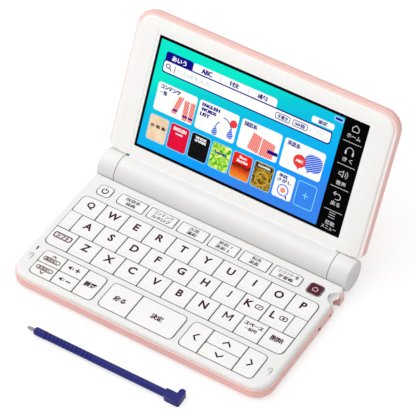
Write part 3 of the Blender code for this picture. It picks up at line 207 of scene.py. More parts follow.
def worked_up(levels, corner, segments, line):
    """Rounds the active flat face, cuts it to its outline where a line is given, and gives it its thickness."""
    def cut_to_outline():
        bpy.ops.mesh.inset(thickness=line * MM)
        bpy.ops.mesh.delete(type="FACE")

    def raise_face():
        bpy.ops.mesh.extrude_region_move(TRANSFORM_OT_translate={"value": (0, 0, (levels[1] - levels[0]) * MM)})
        bpy.ops.mesh.select_all(action="SELECT")
        bpy.ops.mesh.normals_make_consistent(inside=False)

    if corner:
        in_edit_mode(lambda: bpy.ops.mesh.bevel(offset=corner * MM, segments=segments, affect="VERTICES"))
    if line:
        in_edit_mode(cut_to_outline)
    in_edit_mode(raise_face)
    return bpy.context.object


def flat_plate(left, right, bottom, top, levels, corner=0.0, line=0.0):
    """A thin plate with rounded corners, or only its outline where line gives that outline's width."""
    clear_selection()
    middle = metres((left + right) / 2, (bottom + top) / 2, levels[0])
    bpy.ops.mesh.primitive_plane_add(size=1, location=middle)
    bpy.context.object.scale = (*metres(right - left, top - bottom), 1)
    apply_place()
    return worked_up(levels, corner, 5, line)


def stroke(x, y, half_width, half_height, levels, corner=0.0, line=0.0):
    """A flat plate around its middle."""
    return flat_plate(x - half_width, x + half_width, y - half_height, y + half_height, levels, corner, line)


def shaped_plate(points, levels, line=0.0, corner=0.0):
    """A thin plate whose corners stand at the given points, anticlockwise."""
    clear_selection()
    bpy.ops.mesh.primitive_circle_add(vertices=len(points), radius=MM, fill_type="NGON",
                                      location=(0, 0, levels[0] * MM))
    apply_place()
    for vertex, point in zip(bpy.context.object.data.vertices, points):
        vertex.co = metres(*point, levels[0])
    return worked_up(levels, corner, 3, line)


def placed(points, x, y, size=1.0):
    return [(x + a * size, y + b * size) for a, b in points]


def arc_points(x, y, radius, start, end, count):
    turns = [math.radians(start + (end - start) * step / (count - 1)) for step in range(count)]
    return [(x + radius * math.cos(turn), y + radius * math.sin(turn)) for turn in turns]


def disc(x, y, radius, levels, line=0.0, sides=40):
    return shaped_plate(arc_points(x, y, radius, 0, 360 - 360 / sides, sides), levels, line)


def arc_band(x, y, radius, start, end, line, levels, count=14):
    """A curved stroke of the given width."""
    outer = arc_points(x, y, radius + line / 2, start, end, count)
    inner = arc_points(x, y, radius - line / 2, end, start, count)
    return shaped_plate(outer + inner, levels)


def chevron(x, y, span, rise, line, turn, levels):
    """A thick two-stroke arrow that points up before it is turned."""
    half = line / 2 * math.hypot(span / 2, rise) / (span / 2)
    shape = [(-span / 2, -rise / 2 - half), (0, rise / 2 - half), (span / 2, -rise / 2 - half),
             (span / 2, -rise / 2 + half), (0, rise / 2 + half), (-span / 2, -rise / 2 + half)]
    cosine, sine = math.cos(math.radians(turn)), math.sin(math.radians(turn))
    return shaped_plate(placed([(a * cosine - b * sine, a * sine + b * cosine) for a, b in shape], x, y), levels)


def house(x, y, width, line, levels):
    """The outline of a small house."""
    shape = [(-0.42, -0.42), (0.42, -0.42), (0.5, 0.08), (0.0, 0.5), (-0.5, 0.08)]
    return shaped_plate(placed(shape, x, y, width), levels, line, corner=0.08 * width)


def words(text, x, y, height, levels, width=None, bold=0.0):
    """Printed words, made a mesh and fitted to the given height, and to the width where one is given."""
    clear_selection()
    bpy.ops.object.text_add()
    drawn = bpy.context.object.data
    drawn.body = text
    drawn.align_x = "CENTER"
    drawn.resolution_u = 3
    drawn.offset = bold
    drawn.extrude = 0.05
    bpy.ops.object.convert(target="MESH")
    piece = bpy.context.object
    corners = [vertex.co for vertex in piece.data.vertices]
    lowest, highest = (Vector([pick(corner[axis] for corner in corners) for axis in range(3)]) for pick in (min, max))
    size = highest - lowest
    upright = height * MM / size.y
    across = width * MM / size.x if width else upright
    fit = Matrix.Diagonal((across, upright, (levels[1] - levels[0]) * MM / size.z, 1))
    middle = Matrix.Translation(metres(x, y, sum(levels) / 2))
    piece.matrix_world = middle @ fit @ Matrix.Translation(-(lowest + highest) / 2)
    apply_place()
    return piece


def heavy_words(text, x, y, height, levels, width, bold=0.018, strike=0.22):
    """Words in a heavy print: struck twice, a little apart, which keeps the small counters open."""
    return [words(text, x + side * strike / 2, y, height, levels, width - strike, bold) for side in (-1, 1)]


def tinted(part, material):
    part.data.materials.clear()
    part.data.materials.append(material)
    return part


def finished(name, parts, body, material=None, place=None):
    """Joins the parts of one piece, lays it in its place and hangs it on its body."""
    clear_selection()
    for part in parts:
        part.select_set(True)
    bpy.context.view_layer.objects.active = parts[0]
    if len(parts) > 1:
        bpy.ops.object.join()
    piece = bpy.context.object
    piece.name = piece.data.name = name
    if place is not None:
        piece.matrix_world = place @ piece.matrix_world
        apply_place()
    if material is not None:
        tinted(piece, material)
    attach(piece, body)
    return piece


def smooth_nodes(names):
    """Smooths the rounded faces of carried-over nodes and keeps their edges sharp."""
    for name in names:
        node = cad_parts[name]
        for face in node.data.polygons:
            face.use_smooth = True
        node.modifiers.new("Close the triangles", "WELD").merge_threshold = 0.001 * MM
        split = node.modifiers.new("Keep the edges", "EDGE_SPLIT")
        split.split_angle = SMOOTH_ANGLE
        split.use_edge_sharp = False


def dress(names, material):
    for name in names:
        tinted(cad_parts[name], material)


# ---------------------------------------------------------------- material helpers

class Value:
    """A result in a shader tree to calculate with: each step adds its node."""

    def __init__(self, net, socket):
        self.net, self.socket = net, socket

    def math(self, operation, other=0.0, clamp=False):
        return self.net.add("Math", {0: self, 1: other}, operation=operation, use_clamp=clamp)

    def __add__(self, other):
        return self.math("ADD", other)

    def __sub__(self, other):
        return self.math("SUBTRACT", other)

    def __rsub__(self, other):
        return self.net.add("Math", {0: other, 1: self}, operation="SUBTRACT")

    def __mul__(self, other):
        return self.math("MULTIPLY", other)

    def __truediv__(self, other):
        return self.math("DIVIDE", other)

    def __abs__(self):
        return self.math("ABSOLUTE")

    def or_more(self, other):
        return self.math("MAXIMUM", other)

    def step(self, start, end):
        """Rises from 0 at start to 1 at end; where end is the lower one it falls that way."""
        return self.net.add("MapRange", {"Value": self, "From Min": start, "From Max": end}, "Result")


def distance(first, second):
    return (first * first + second * second).math("SQRT")


def barrel_mask(back, up):
    """Mask of what lies within the barrel's radius of the hinge line."""
    return distance(back, up).step(BARREL_RADIUS + 0.25, BARREL_RADIUS + 0.1)


class Net:
    """A shader tree with short ways to add what the finishes are made of."""

    def __init__(self, tree):
        self.tree = tree

    def feed(self, socket, value):
        if isinstance(value, Value):
            self.tree.links.new(value.socket, socket)
        else:
            socket.default_value = value

    def add(self, kind, inputs=None, output=0, **settings):
        """Adds a node, with values or other nodes' results at its inputs, and returns one of its own results."""
        node = self.tree.nodes.new("ShaderNode" + kind)
        for name, value in settings.items():
            setattr(node, name, value)
        for name, value in (inputs or {}).items():
            self.feed(node.inputs[name], value)
        return Value(self, node.outputs[output])

    def place(self):
        return self.add("TexCoord", output="Object")

    def normal(self):
        return self.add("TexCoord", output="Normal")

    def axes(self, vector):
        outputs = self.add("SeparateXYZ", {0: vector}).socket.node.outputs
        return [Value(self, outputs[axis]) for axis in "XYZ"]

    def from_point(self, x=0.0, y=0.0, z=0.0):
        """The three object coordinates, in millimetres from a given point."""
        return self.axes(self.add("Mapping", {"Vector": self.place(), "Location": (-x, -y, -z),
                                              "Scale": (1 / MM,) * 3}))

    def on_flat(self, across=0.0, up=0.0):
        """The place in the lid's flat drawing, in millimetres from a given point."""
        undo = LID_PLACE.inverted()
        return self.add("Mapping", {"Vector": self.place(), "Rotation": undo.to_euler(), "Scale": (1 / MM,) * 3,
                                    "Location": undo.to_translation() / MM - Vector((across, up, 0))})

    def noise(self, scale, detail=2.0, vector=None, distortion=0.0):
        return self.add("TexNoise", {"Vector": vector or self.place(), "Scale": scale, "Detail": detail,
                                     "Distortion": distortion}, "Fac")

    def mix(self, factor, first, second, blend="MIX"):
        return self.add("Mix", {0: factor, 6: first, 7: second}, 2, data_type="RGBA", blend_type=blend)

    def bright(self, colour, value):
        return self.add("HueSaturation", {"Color": colour, "Value": value}, "Color")

    def ramp(self, factor, *stops):
        """A colour ramp with (place, colour) stops."""
        result = self.add("ValToRGB", {"Fac": factor}, "Color")
        elements = result.socket.node.color_ramp.elements
        while len(elements) < len(stops):
            elements.new(0.5)
        for element, (place, colour) in zip(elements, stops):
            element.position = place
            element.color = colour
        return result

    def bump(self, height, strength, depth):
        return self.add("Bump", {"Height": height, "Strength": strength, "Distance": depth}, "Normal")


class Finish(Net):
    """A material with a bare Principled surface."""

    def __init__(self, name):
        self.material = bpy.data.materials.new(name)
        self.material.use_nodes = True
        super().__init__(self.material.node_tree)

    def surface(self, sockets):
        """Fills the surface's sockets with values or results, and returns the material."""
        for name, value in sockets.items():
            self.feed(self.tree.nodes["Principled BSDF"].inputs[name], value)
        return self.material


def effect(name, results, **given):
    """Makes a function a node group, built at its first use; each call places it and returns its results."""
    def socket_kind(value):
        if isinstance(value, tuple):
            return {3: "NodeSocketVector", 4: "NodeSocketColor"}[len(value)]
        return "NodeSocketFloat"

    def decorate(build):
        def new_group():
            group = bpy.data.node_groups.new(name, "ShaderNodeTree")
            for label, value in given.items():
                socket = group.interface.new_socket(label, in_out="INPUT", socket_type=socket_kind(value))
                socket.default_value = value
            for label in results:
                group.interface.new_socket(label, in_out="OUTPUT",
                                           socket_type=socket_kind(grey(1) if label == "Color" else 1))
            net, start, end = Net(group), group.nodes.new("NodeGroupInput"), group.nodes.new("NodeGroupOutput")
            made = build(net, *(Value(net, start.outputs[label]) for label in given))
            for label, value in zip(results, made):
                net.feed(end.inputs[label], value)
            return group

        def place(net, **inputs):
            group = bpy.data.node_groups.get(name) or new_group()
            outputs = net.add("Group", inputs, node_tree=group).socket.node.outputs
            shown = [Value(net, output) for output in outputs]
            return shown if len(shown) > 1 else shown[0]
        return place
    return decorate


# ---------------------------------------------------------------- shared effects

@effect("Moulded Plastic", ("Color", "Roughness", "Height"),
        Color=grey(0.8), Grain=2600.0, Cloud=0.02, Roughness=0.45)
def moulded(net, colour, grain_scale, cloud_share, roughness):
    """Moulded plastic: a soft cloud in the colour, a fine spark-eroded grain and an uneven gloss."""
    cloud, grain = net.noise(55.0, 3.0), net.noise(grain_scale)
    cells = net.add("TexVoronoi", {"Vector": net.place(), "Scale": grain_scale * 0.6}, "Distance")
    shade = (cloud - 0.5) * cloud_share + (grain - 0.5) * 0.02
    gloss = roughness.math("ADD", (grain - 0.5) * 0.10, clamp=True)
    return net.bright(colour, shade + 1.0), gloss, grain + cells * 0.5


@effect("Printed Ink", ("Color", "Height"), Color=grey(0.0))
def printed_ink(net, colour):
    """Screen-printed ink: a slightly uneven colour and a fine skin."""
    skin = net.noise(3800.0)
    return net.bright(colour, skin * 0.3 + 0.85), skin


@effect("Facing", ("Mask",), Direction=(0.0, 0.0, 1.0))
def facing(net, direction):
    """Mask of the faces that look in a given direction."""
    along = net.add("VectorMath", {0: net.normal(), 1: direction}, "Value", operation="DOT_PRODUCT")
    return (along.step(0.55, 0.9),)


@effect("Painted Key Wall Shade", ("Mask",))
def key_wall_shade(net):
    """Mask of a key's upright walls, which get painted shade for the dark of the seams."""
    return (net.axes(net.add("NewGeometry", output="Normal"))[2].step(0.98, 0.50),)


@effect("Painted Key Front Shade", ("Mask",))
def key_front_shade(net):
    """Mask of painted shade on the sloping front of each letter key and in a faint line above it."""
    start = box("key_shift")[0].y
    pitch = (box("key_q")[0].y - start) / 2
    along, edge = net.from_point(0, start)[1], 2.3
    rise = (along / pitch).math("FRACT") * pitch
    slope = rise.step(edge + 0.15, edge) * 0.35
    line = rise.step(edge - 0.3, edge - 0.05) * rise.step(edge + 0.3, edge + 0.1)
    rows = along.step(-0.1, 0.1) * along.step(3 * pitch, 3 * pitch - 0.4)
    return (slope.or_more(line) * rows,)


@effect("Painted Barrel Shade", ("Color", "Near"), Color=grey(0.8))
def painted_barrel_shade(net, colour):
    """Painted shade on the barrel and the caps: darker where they face the keys, lighter towards the top, within the
    barrel's radius of the hinge line.
    """
    _, back, up = net.from_point(*HINGE)
    near = barrel_mask(back, up)
    shade_tone = net.ramp(up / BARREL_RADIUS, (0.0, grey(0.80)), (0.72, grey(0.86)), (0.97, grey(1)))
    return net.mix(near, colour, shade_tone, "MULTIPLY"), near


@effect("Lid Edge", ("Wall", "Strip"))
def lid_edge(net):
    """Masks of the lid frame's outer walls, which take the painted highlight of the pink rim, and of the inner strip
    of the cover's rim.
    """
    across, up, _ = net.axes(net.on_flat())
    side, front = abs(across), facing(net, Direction=LID_FACING)
    frame_side, frame_foot, frame_top = 71.8, 9.5, 83.0
    strip_inside, strip_outside, strip_top = 73.0, 74.7, 81.0
    outer = side.step(frame_side, frame_side + 0.2).or_more(up.step(frame_top, frame_top + 0.2))
    outer = outer * up.step(frame_foot, frame_foot + 0.5)
    strip = side.step(strip_outside, strip_outside - 0.1) * side.step(strip_inside, strip_inside + 0.1)
    strip = strip * up.step(strip_top, strip_top - 3.0)
    return outer * front.step(0.1, 0.0), front * strip


@effect("Painted Well Shade", ("Mask", "Shade"))
def painted_well_shade(net):
    """Masks of painted shade: on the walls down in the keys' openings and the hinge seams, and in the finger scoop."""
    boxes = [box(name) for name in KEY_NODES]
    low, high = ([pick(corners[end][axis] for corners in boxes) for axis in range(2)]
                 for end, pick in ((0, min), (1, max)))
    middle = [(low[axis] + high[axis]) / 2 for axis in range(2)]
    rim, seam_middle, seam_half = DECK + 0.08, 63.4, 1.4
    scoop_middle, scoop_width, scoop_length = (75.9, 15.8), 6.1, 4.7
    across, along, up = net.from_point(*middle)
    sideways, _, upward = net.axes(net.normal())
    well_shade = upward.step(0.62, 0.30) * up.step(rim + 0.02, rim)
    for value, reach in ((across, high[0] - middle[0]), (along, high[1] - middle[1])):
        well_shade = well_shade * abs(value).step(reach + 0.5, reach + 0.4)
    seam, back, rise = net.from_point(0, *HINGE[1:])
    slot_shade = abs(sideways).step(0.3, 0.5) * abs(abs(seam) - seam_middle).step(seam_half, seam_half - 0.2)
    side, length, _ = net.from_point(*scoop_middle)
    out = distance(side / scoop_width, length / scoop_length)
    ring = out.step(0.55, 0.92) * out.step(1.04, 0.98)
    return well_shade.or_more(slot_shade * barrel_mask(back, rise)), ring * side.step(0.0, -4.5)


@effect("Display Glow", ("Color",), Color=grey(1.0))
def display_glow(net, colour):
    """Backlit display: a slightly uneven light behind a fine grid of picture cells."""
    flat = net.on_flat()
    cell, contrast = 0.18, 0.012
    light = net.noise(0.03, 1.0, flat) * 0.04 + 0.975
    for along in net.axes(flat)[:2]:
        light = light + (along * (2 * math.pi / cell)).math("SINE") * contrast
    return (net.bright(colour, light),)


@effect("Slanting Stripes", ("Mask",), Pitch=1.1, Slant=1.0)
def stripes(net, pitch, slant):
    """Mask of slanting stripes in the flat drawing of the lid."""
    across, up, _ = net.axes(net.on_flat())
    wave = ((up + across * slant) / pitch * (2 * math.pi)).math("SINE")
    return ((wave * 6.0).math("ADD", 0.5, clamp=True),)


# ---------------------------------------------------------------- finishes

def moulded_finish(name, colour, roughness, cloud, grain=None, coat=0.0):
    """A moulded plastic; returns it with its colour, so that a mark can be mixed in."""
    settings = bpy.context.scene.dictionary_finish
    finish = Finish(name)
    shown, gloss, height = moulded(finish, Color=opaque(colour), Grain=grain or settings.grain, Cloud=cloud,
                                   Roughness=roughness)
    finish.surface({"Base Color": shown, "Roughness": gloss, "Coat Weight": coat, "Coat Roughness": 0.25,
                    "Normal": finish.bump(height, 0.35, settings.grain_depth)})
    return finish, shown


def white_plastic(name, colour):
    """The white of the cases, with painted shade: greyer on the barrel, dark in the key openings and the hinge seams,
    and grey in the finger scoop.
    """
    settings = bpy.context.scene.dictionary_finish
    finish, shown = moulded_finish(name, colour, 0.46, 0.02)
    case_white = moulded(finish, Color=opaque(settings.white), Cloud=0.02)[0]
    # Painted shade: the barrel and the caps turn greyer towards the keys.
    barrel, near = painted_barrel_shade(finish, Color=case_white)
    shown = finish.mix(near, shown, barrel)
    # Painted highlight: on the lid, the frame's outer walls take the pale colour of the lit pink rim.
    if name == "Lit white lid plastic":
        shown = finish.mix(lid_edge(finish)[0], shown, opaque(settings.pink_rim_highlight))
    well_shade, scoop_shade = painted_well_shade(finish)
    # Painted shade: grey in a ring inside the finger scoop.
    shown = finish.mix(scoop_shade * 0.42, shown, (0.35, 0.34, 0.34, 1))
    # Painted shade: the walls in the key openings and the hinge seams take the dark seam colour.
    return finish.surface({"Base Color": finish.mix(well_shade, shown, opaque(settings.seam))})


class DICTIONARY_OT_finish_cases(bpy.types.Operator):
    """Give the two cases, the lid and the hinge caps their moulded plastic"""
    bl_idname = "dictionary.finish_cases"
    bl_label = "Cases and lid"

    def execute(self, context):
        settings = context.scene.dictionary_finish
        smooth_nodes(PINK_NODES + WHITE_NODES)
        dress(WHITE_NODES, white_plastic("White case plastic", settings.white))
        # The lid frame takes the lighter copy of the white plastic, which is painted light.
        dress(["lid_frame"], white_plastic("Lit white lid plastic", settings.lit_lid_white))
        dress(["lower_case", "port_cover"], self.pink(settings, "Pink case", (0, 0, 1)))
        dress(["lid_cover"], self.pink(settings, "Pink lid", LID_FACING))
        return {"FINISHED"}

    def pink(self, settings, name, direction):
        """The coloured plastic, with a painted highlight: a paler colour on the thin rims that face one way."""
        finish, shown = moulded_finish(name + " plastic", settings.pink, 0.36, 0.03, coat=0.15)
        pale_highlight = moulded(finish, Color=opaque(settings.pink_rim_highlight))[0]
        shown = finish.mix(facing(finish, Direction=direction), shown, pale_highlight)
        if name == "Pink lid":
            shown = finish.mix(lid_edge(finish)[1], shown, opaque(settings.lit_lid_white))
        return finish.surface({"Base Color": shown, SPECULAR: 0.35})


class DICTIONARY_OT_finish_keys(bpy.types.Operator):
    """Give every key its satin top, painted shade on its sloping front and on its walls down in the seams, and the
    home key its coloured top
    """
    bl_idname = "dictionary.finish_keys"
    bl_label = "Keys"

    def execute(self, context):
        settings = context.scene.dictionary_finish
        smooth_nodes(KEY_NODES)
        finish, shown = moulded_finish("White key plastic", settings.key, 0.50, 0.02, KEY_GRAIN)
        # Painted shade: the sloping fronts of the letter keys and the line above them are 8 % darker.
        top = finish.mix(key_front_shade(finish), shown, opaque([0.92 * value for value in settings.key]))
        dress(KEY_NODES, self.with_wall_shade(finish, top, settings))
        dress(["key_home"], self.home_plastic(settings))
        return {"FINISHED"}

    def with_wall_shade(self, finish, top, settings):
        # Painted shade: the key's walls take the dark seam colour.
        return finish.surface({"Base Color": finish.mix(key_wall_shade(finish), top, opaque(settings.seam))})

    def home_plastic(self, settings):
        """A white key whose top is coloured inside a narrow rim."""
        finish, shown = moulded_finish("Home key plastic", settings.key, 0.44, 0.02, KEY_GRAIN)
        finish.surface({SPECULAR: 0.12})
        low, high = box("key_home")
        middle, half = (low + high) / 2, (high - low) / 2
        corner, rim, blur = 1.5, 0.25, 0.04
        beyond = [(abs(axis) - (reach - rim - corner)).or_more(0.0)
                  for axis, reach in zip(finish.from_point(middle.x, middle.y)[:2], half)]
        inside = distance(*beyond).step(corner + blur, corner - blur)
        ink = printed_ink(finish, Color=opaque(settings.maroon))[0]
        return self.with_wall_shade(finish, finish.mix(inside, shown, ink), settings)


class DICTIONARY_OT_finish_inside(bpy.types.Operator):
    """Give the circuit board, the cells and the glass their finishes"""
    bl_idname = "dictionary.finish_inside"
    bl_label = "Board, cells and glass"

    def execute(self, context):
        for name, material in (("key_board", self.board()), ("battery_cells", self.cells()),
                               ("display_module", self.glass())):
            smooth_nodes([name])
            dress([name], material)
        return {"FINISHED"}

    def board(self):
        """Green solder mask over copper tracks."""
        finish = Finish("Solder mask green")
        tracks = finish.add("TexBrick", {
            "Vector": finish.place(), "Color1": (0.03, 0.17, 0.07, 1), "Color2": (0.045, 0.22, 0.09, 1),
            "Mortar": (0.10, 0.34, 0.13, 1), "Scale": 260.0, "Mortar Size": 0.02}, "Color")
        return finish.surface({"Base Color": tracks, "Roughness": finish.noise(900.0) * 0.2 + 0.3})

    def cells(self):
        """Steel cans with a plain dark sleeve between their ends."""
        finish = Finish("Cell can")
        low, high = box("battery_cells")
        share = (finish.from_point(low.x)[0] / ((high.x - low.x) / 2)).math("FRACT")
        sleeve = finish.ramp(share, (0.0, grey(0)), (0.05, grey(1)), (0.90, grey(1)), (0.94, grey(0)))
        steel = finish.ramp(finish.noise(700.0), (0.3, (0.50, 0.50, 0.49, 1)), (0.7, (0.66, 0.66, 0.64, 1)))
        return finish.surface({"Base Color": finish.mix(sleeve, steel, (0.05, 0.055, 0.065, 1)),
                               "Metallic": 1.0 - sleeve, "Roughness": 0.33})

    def glass(self):
        """The touch glass: deep black, glossy, with the faintest film of fingerprints."""
        finish = Finish("Black touch glass")
        film = finish.noise(60.0, 4.0)
        black = finish.ramp(film, (0.35, (0.0003, 0.0003, 0.0004, 1)), (0.75, (0.0010, 0.0010, 0.0012, 1)))
        return finish.surface({"Base Color": black, "Roughness": film * 0.10 + 0.05, SPECULAR: 0.02})


class DICTIONARY_OT_finish_stylus(bpy.types.Operator):
    """Give the stylus its dark blue plastic and grey tip"""
    bl_idname = "dictionary.finish_stylus"
    bl_label = "Stylus"

    def execute(self, context):
        settings = context.scene.dictionary_finish
        smooth_nodes(["stylus"])
        finish, shown = moulded_finish("Stylus plastic", settings.stylus, 0.34, 0.05, 3000.0, coat=0.04)
        tip = finish.from_point(box("stylus")[0].x)[0].step(4.5, 4.4)
        shown = finish.mix(tip, shown, (0.30, 0.30, 0.34, 1))
        dress(["stylus"], finish.surface({"Base Color": shown, SPECULAR: 0.13}))
        return {"FINISHED"}


# ---------------------------------------------------------------- key legends

def legend_ink(kind):
    name = "Legend " + kind.replace("_", " ")
    found = bpy.data.materials.get(name)
    if found:
        return found
    finish = Finish(name)
    colour, skin = printed_ink(finish, Color=opaque(getattr(bpy.context.scene.dictionary_legends, kind)))
    return finish.surface({"Base Color": colour, "Normal": finish.bump(skin, 0.2, 0.01 * MM), "Roughness": 0.55,
                           SPECULAR: 0.1})


def legend(key, parts, kind="ink"):
    return finished("legend_" + key, parts, "key_" + key, legend_ink(kind))


def on_key(key):
    """The middle of a key, and the two levels of its print."""
    low, high = box("key_" + key)
    thickness = bpy.context.scene.dictionary_legends.thickness / MM
    return (low.x + high.x) / 2, (low.y + high.y) / 2, (high.z - 0.03, high.z + thickness)


def letter_m(x, y, height, line, levels):
    """A capital M drawn as one outline."""
    half, top, dip = height * 0.52, height / 2, -0.08 * height
    left = [(-half, -top), (line - half, -top), (line - half, top - 2.0 * line), (-0.35 * line, dip - line)]
    crown = [(half - 1.05 * line, top), (0, dip + 0.1 * line), (1.05 * line - half, top), (-half, top)]
    right = [(-a, b) for a, b in reversed(left)]
    return shaped_plate(placed(left + right + [(half, top)] + crown, x, y), levels)


class DICTIONARY_OT_add_letters(bpy.types.Operator):
    """Print the letters on the letter keys, with a small framed mark on two of them"""
    bl_idname = "dictionary.add_letters"
    bl_label = "Letter legends"

    def execute(self, context):
        settings = context.scene.dictionary_legends
        for letter in LETTERS:
            middle, y, levels = on_key(letter)
            y += settings.rearward / MM
            x = middle - (2.7 if letter in MARKED_LETTERS else 0)
            height = settings.letter_height / MM * (1.04 if letter in "cgoqs" else 1.0)
            if letter == "m":
                parts = [letter_m(x, y, height, 0.78, levels)]
            else:
                parts = [words(letter.upper(), x, y, height, levels, bold=settings.boldness)]
            if letter in MARKED_LETTERS:
                parts += self.framed_mark(letter, middle + 3.0, y + 0.3, levels)
            legend(letter, parts)
        return {"FINISHED"}

    def framed_mark(self, letter, x, y, levels):
        outline = stroke(x, y, 2.2, 1.45, levels, 1.1, 0.52)
        if letter == "l":
            return [outline, disc(x, y, 0.7, levels, sides=16)]
        slash = [(-0.9, -0.75), (-0.45, -0.75), (0.9, 0.75), (0.45, 0.75)]
        return [outline, shaped_plate(placed(slash, x, y), levels)]


class DICTIONARY_OT_add_menu_words(bpy.types.Operator):
    """Print two short lines on each menu key"""
    bl_idname = "dictionary.add_menu_words"
    bl_label = "Menu key legends"

    def execute(self, context):
        for number, lines in enumerate(MENU_WORDS, 1):
            key = "menu_%d" % number
            x, y, levels = on_key(key)
            parts = []
            for side, (text, width) in zip((1, -1), lines):
                parts += heavy_words(text, x, y + side * 1.4, 2.2, levels, width, 0.006, 0.12)
            legend(key, parts, "word_ink")
        return {"FINISHED"}


class DICTIONARY_OT_add_key_words(bpy.types.Operator):
    """Print the words on shift, space, delete, history, back and enter"""
    bl_idname = "dictionary.add_key_words"
    bl_label = "Word legends"

    def execute(self, context):
        rearward = context.scene.dictionary_legends.rearward / MM
        bold = context.scene.dictionary_legends.word_boldness
        x, y, levels = on_key("shift")
        y += rearward
        legend("shift", [stroke(x, y, 5.3, 1.95, levels, 1.2, 0.74),
                         *heavy_words("シフト", x, y, 2.3, levels, 7.6, bold, 0.4)], "word_ink")
        x, y, levels = on_key("space")
        legend("space", [*heavy_words("スペース", x, y + 2.6, 2.3, levels, 10.6, bold, 0.46),
                         *heavy_words("ー記号", x, y - 0.4, 2.1, levels, 7.0, bold, 0.3)], "word_ink")
        for key, text, width, height, shift, strike in (
                ("delete", "削除", 7.2, 3.6, rearward, 0.22), ("history", "履歴", 7.0, 3.4, 0.0, 0.22),
                ("back", "戻る", 6.8, 3.4, 0.0, 0.34), ("enter", "決定", 7.0, 3.5, 0.0, 0.34)):
            x, y, levels = on_key(key)
            legend(key, heavy_words(text, x, y + shift, height, levels, width, bold, strike), "word_ink")
        return {"FINISHED"}


class DICTIONARY_OT_add_key_marks(bpy.types.Operator):
    """Print the marks on the power, home, page, volume and arrow keys"""
    bl_idname = "dictionary.add_key_marks"
    bl_label = "Mark legends"

    def execute(self, context):
        self.power_mark()
        self.home_mark()
        for key, side, text in (("page_up", 1, "前見出し"), ("page_down", -1, "次見出し")):
            self.page_mark(key, side, text)
        for key, rising in (("volume_up", True), ("volume_down", False)):
            self.volume_mark(key, rising)
        for key, turn in (("up", 0), ("left", 90), ("down", 180), ("right", 270)):
            x, y, levels = on_key(key)
            legend(key, [chevron(x, y, 4.6, 2.1, 0.85, turn, levels)])
        return {"FINISHED"}

    def power_mark(self):
        x, y, levels = on_key("power")
        legend("power", [arc_band(x, y - 0.1, 1.6, 125, 415, 0.68, levels, count=24),
                         flat_plate(x - 0.33, x + 0.33, y + 0.2, y + 2.0, levels)])

    def home_mark(self):
        x, y, levels = on_key("home")
        finish = Finish("Pale legend ink")
        ink = printed_ink(finish, Color=(0.72, 0.50, 0.54, 1))[0]
        finished("legend_home", [house(x, y, 3.3, 0.42, levels)], "key_home",
                 finish.surface({"Base Color": ink, "Roughness": 0.5}))

    def page_mark(self, key, side, text):
        x, y, levels = on_key(key)
        x, y = x + 0.1, y - side * 0.95
        legend(key, [stroke(x, y, 4.9, 1.35, levels, 1.2, 0.5),
                     *heavy_words(text, x, y, 1.6, levels, 7.6, 0.018, 0.16),
                     chevron(x, y + side * 2.6, 2.3, 1.1, 0.62, 0 if side > 0 else 180, levels)], "word_ink")

    def volume_mark(self, key, rising):
        middle, y, levels = on_key(key)
        x, y, sign = middle - 2.2, y + 0.1, middle + 1.9
        cone = [(-1.3, -0.55), (-0.5, -0.55), (0.45, -1.35), (0.45, 1.35), (-0.5, 0.55), (-1.3, 0.55)]
        parts = [shaped_plate(placed(cone, x, y), levels), arc_band(x + 0.2, y, 1.25, -42, 42, 0.42, levels, count=8),
                 stroke(sign, y, 1.4, 0.36, levels)]
        if rising:
            parts += [stroke(sign, y + side * 0.88, 0.36, 0.52, levels) for side in (-1, 1)]
        legend(key, parts)


# ---------------------------------------------------------------- the screen

def layer(number):
    """The two levels of a layer of the picture, each a little thicker than the last."""
    step = bpy.context.scene.dictionary_screen.layer / MM
    return GLASS_LEVEL - step, GLASS_LEVEL + step * (number + 0.5)


def on_lid(name, parts, material):
    return finished(name, parts, "lid", material, LID_PLACE)


def glow(name, colour):
    """A lit display colour behind the glossy panel; colour may also be a function that builds it in the tree."""
    found = bpy.data.materials.get(name)
    if found:
        return found
    finish = Finish(name)
    shown = colour(finish) if callable(colour) else opaque(colour)
    return finish.surface({"Emission Color": display_glow(finish, Color=shown), "Emission Strength": 1.0,
                           "Base Color": grey(0.001), "Roughness": 0.2, SPECULAR: 0.03})


def striped(first, second, pitch, slant):
    return lambda net: net.mix(stripes(net, Pitch=pitch, Slant=slant), first, second)


def patched(scale, across, up, distortion, *stops):
    """An uneven, painted-looking cover in a few colours."""
    return lambda net: net.ramp(net.noise(scale, 3.0, net.on_flat(across, up), distortion), *stops)


def fading(up, height, *stops):
    """A colour that changes from the bottom of a cover to its top."""
    def build(net):
        flat = net.on_flat(0.0, up)
        cloud = (net.noise(0.42, 3.0, flat) - 0.5) * 0.35
        return net.ramp((net.axes(flat)[1] / height).math("ADD", cloud, clamp=True), *stops)
    return build


class DICTIONARY_OT_add_picture(bpy.types.Operator):
    """Lay the glowing picture ground on the glass"""
    bl_idname = "dictionary.add_picture"
    bl_label = "Picture ground"

    def execute(self, context):
        settings = context.scene.dictionary_screen
        left, right, low, high = (edge / MM for edge in (settings.left, settings.right, settings.low, settings.high))
        per_width, per_height = 0.5 / 106.5, 0.7 / 59.4

        def ground(net):
            across, up, _ = net.axes(net.on_flat())
            return net.ramp((across - left) * per_width + (high - up) * per_height,
                            (0.26, opaque(settings.teal)), (0.40, srgb(2, 205, 217)), (0.56, srgb(5, 187, 236)),
                            (0.72, srgb(4, 178, 246)), (0.85, srgb(6, 156, 255)), (0.96, opaque(settings.blue)))
        on_lid("screen_ground", [flat_plate(left, right, low, high, layer(0))], glow("Teal to blue glow", ground))
        return {"FINISHED"}


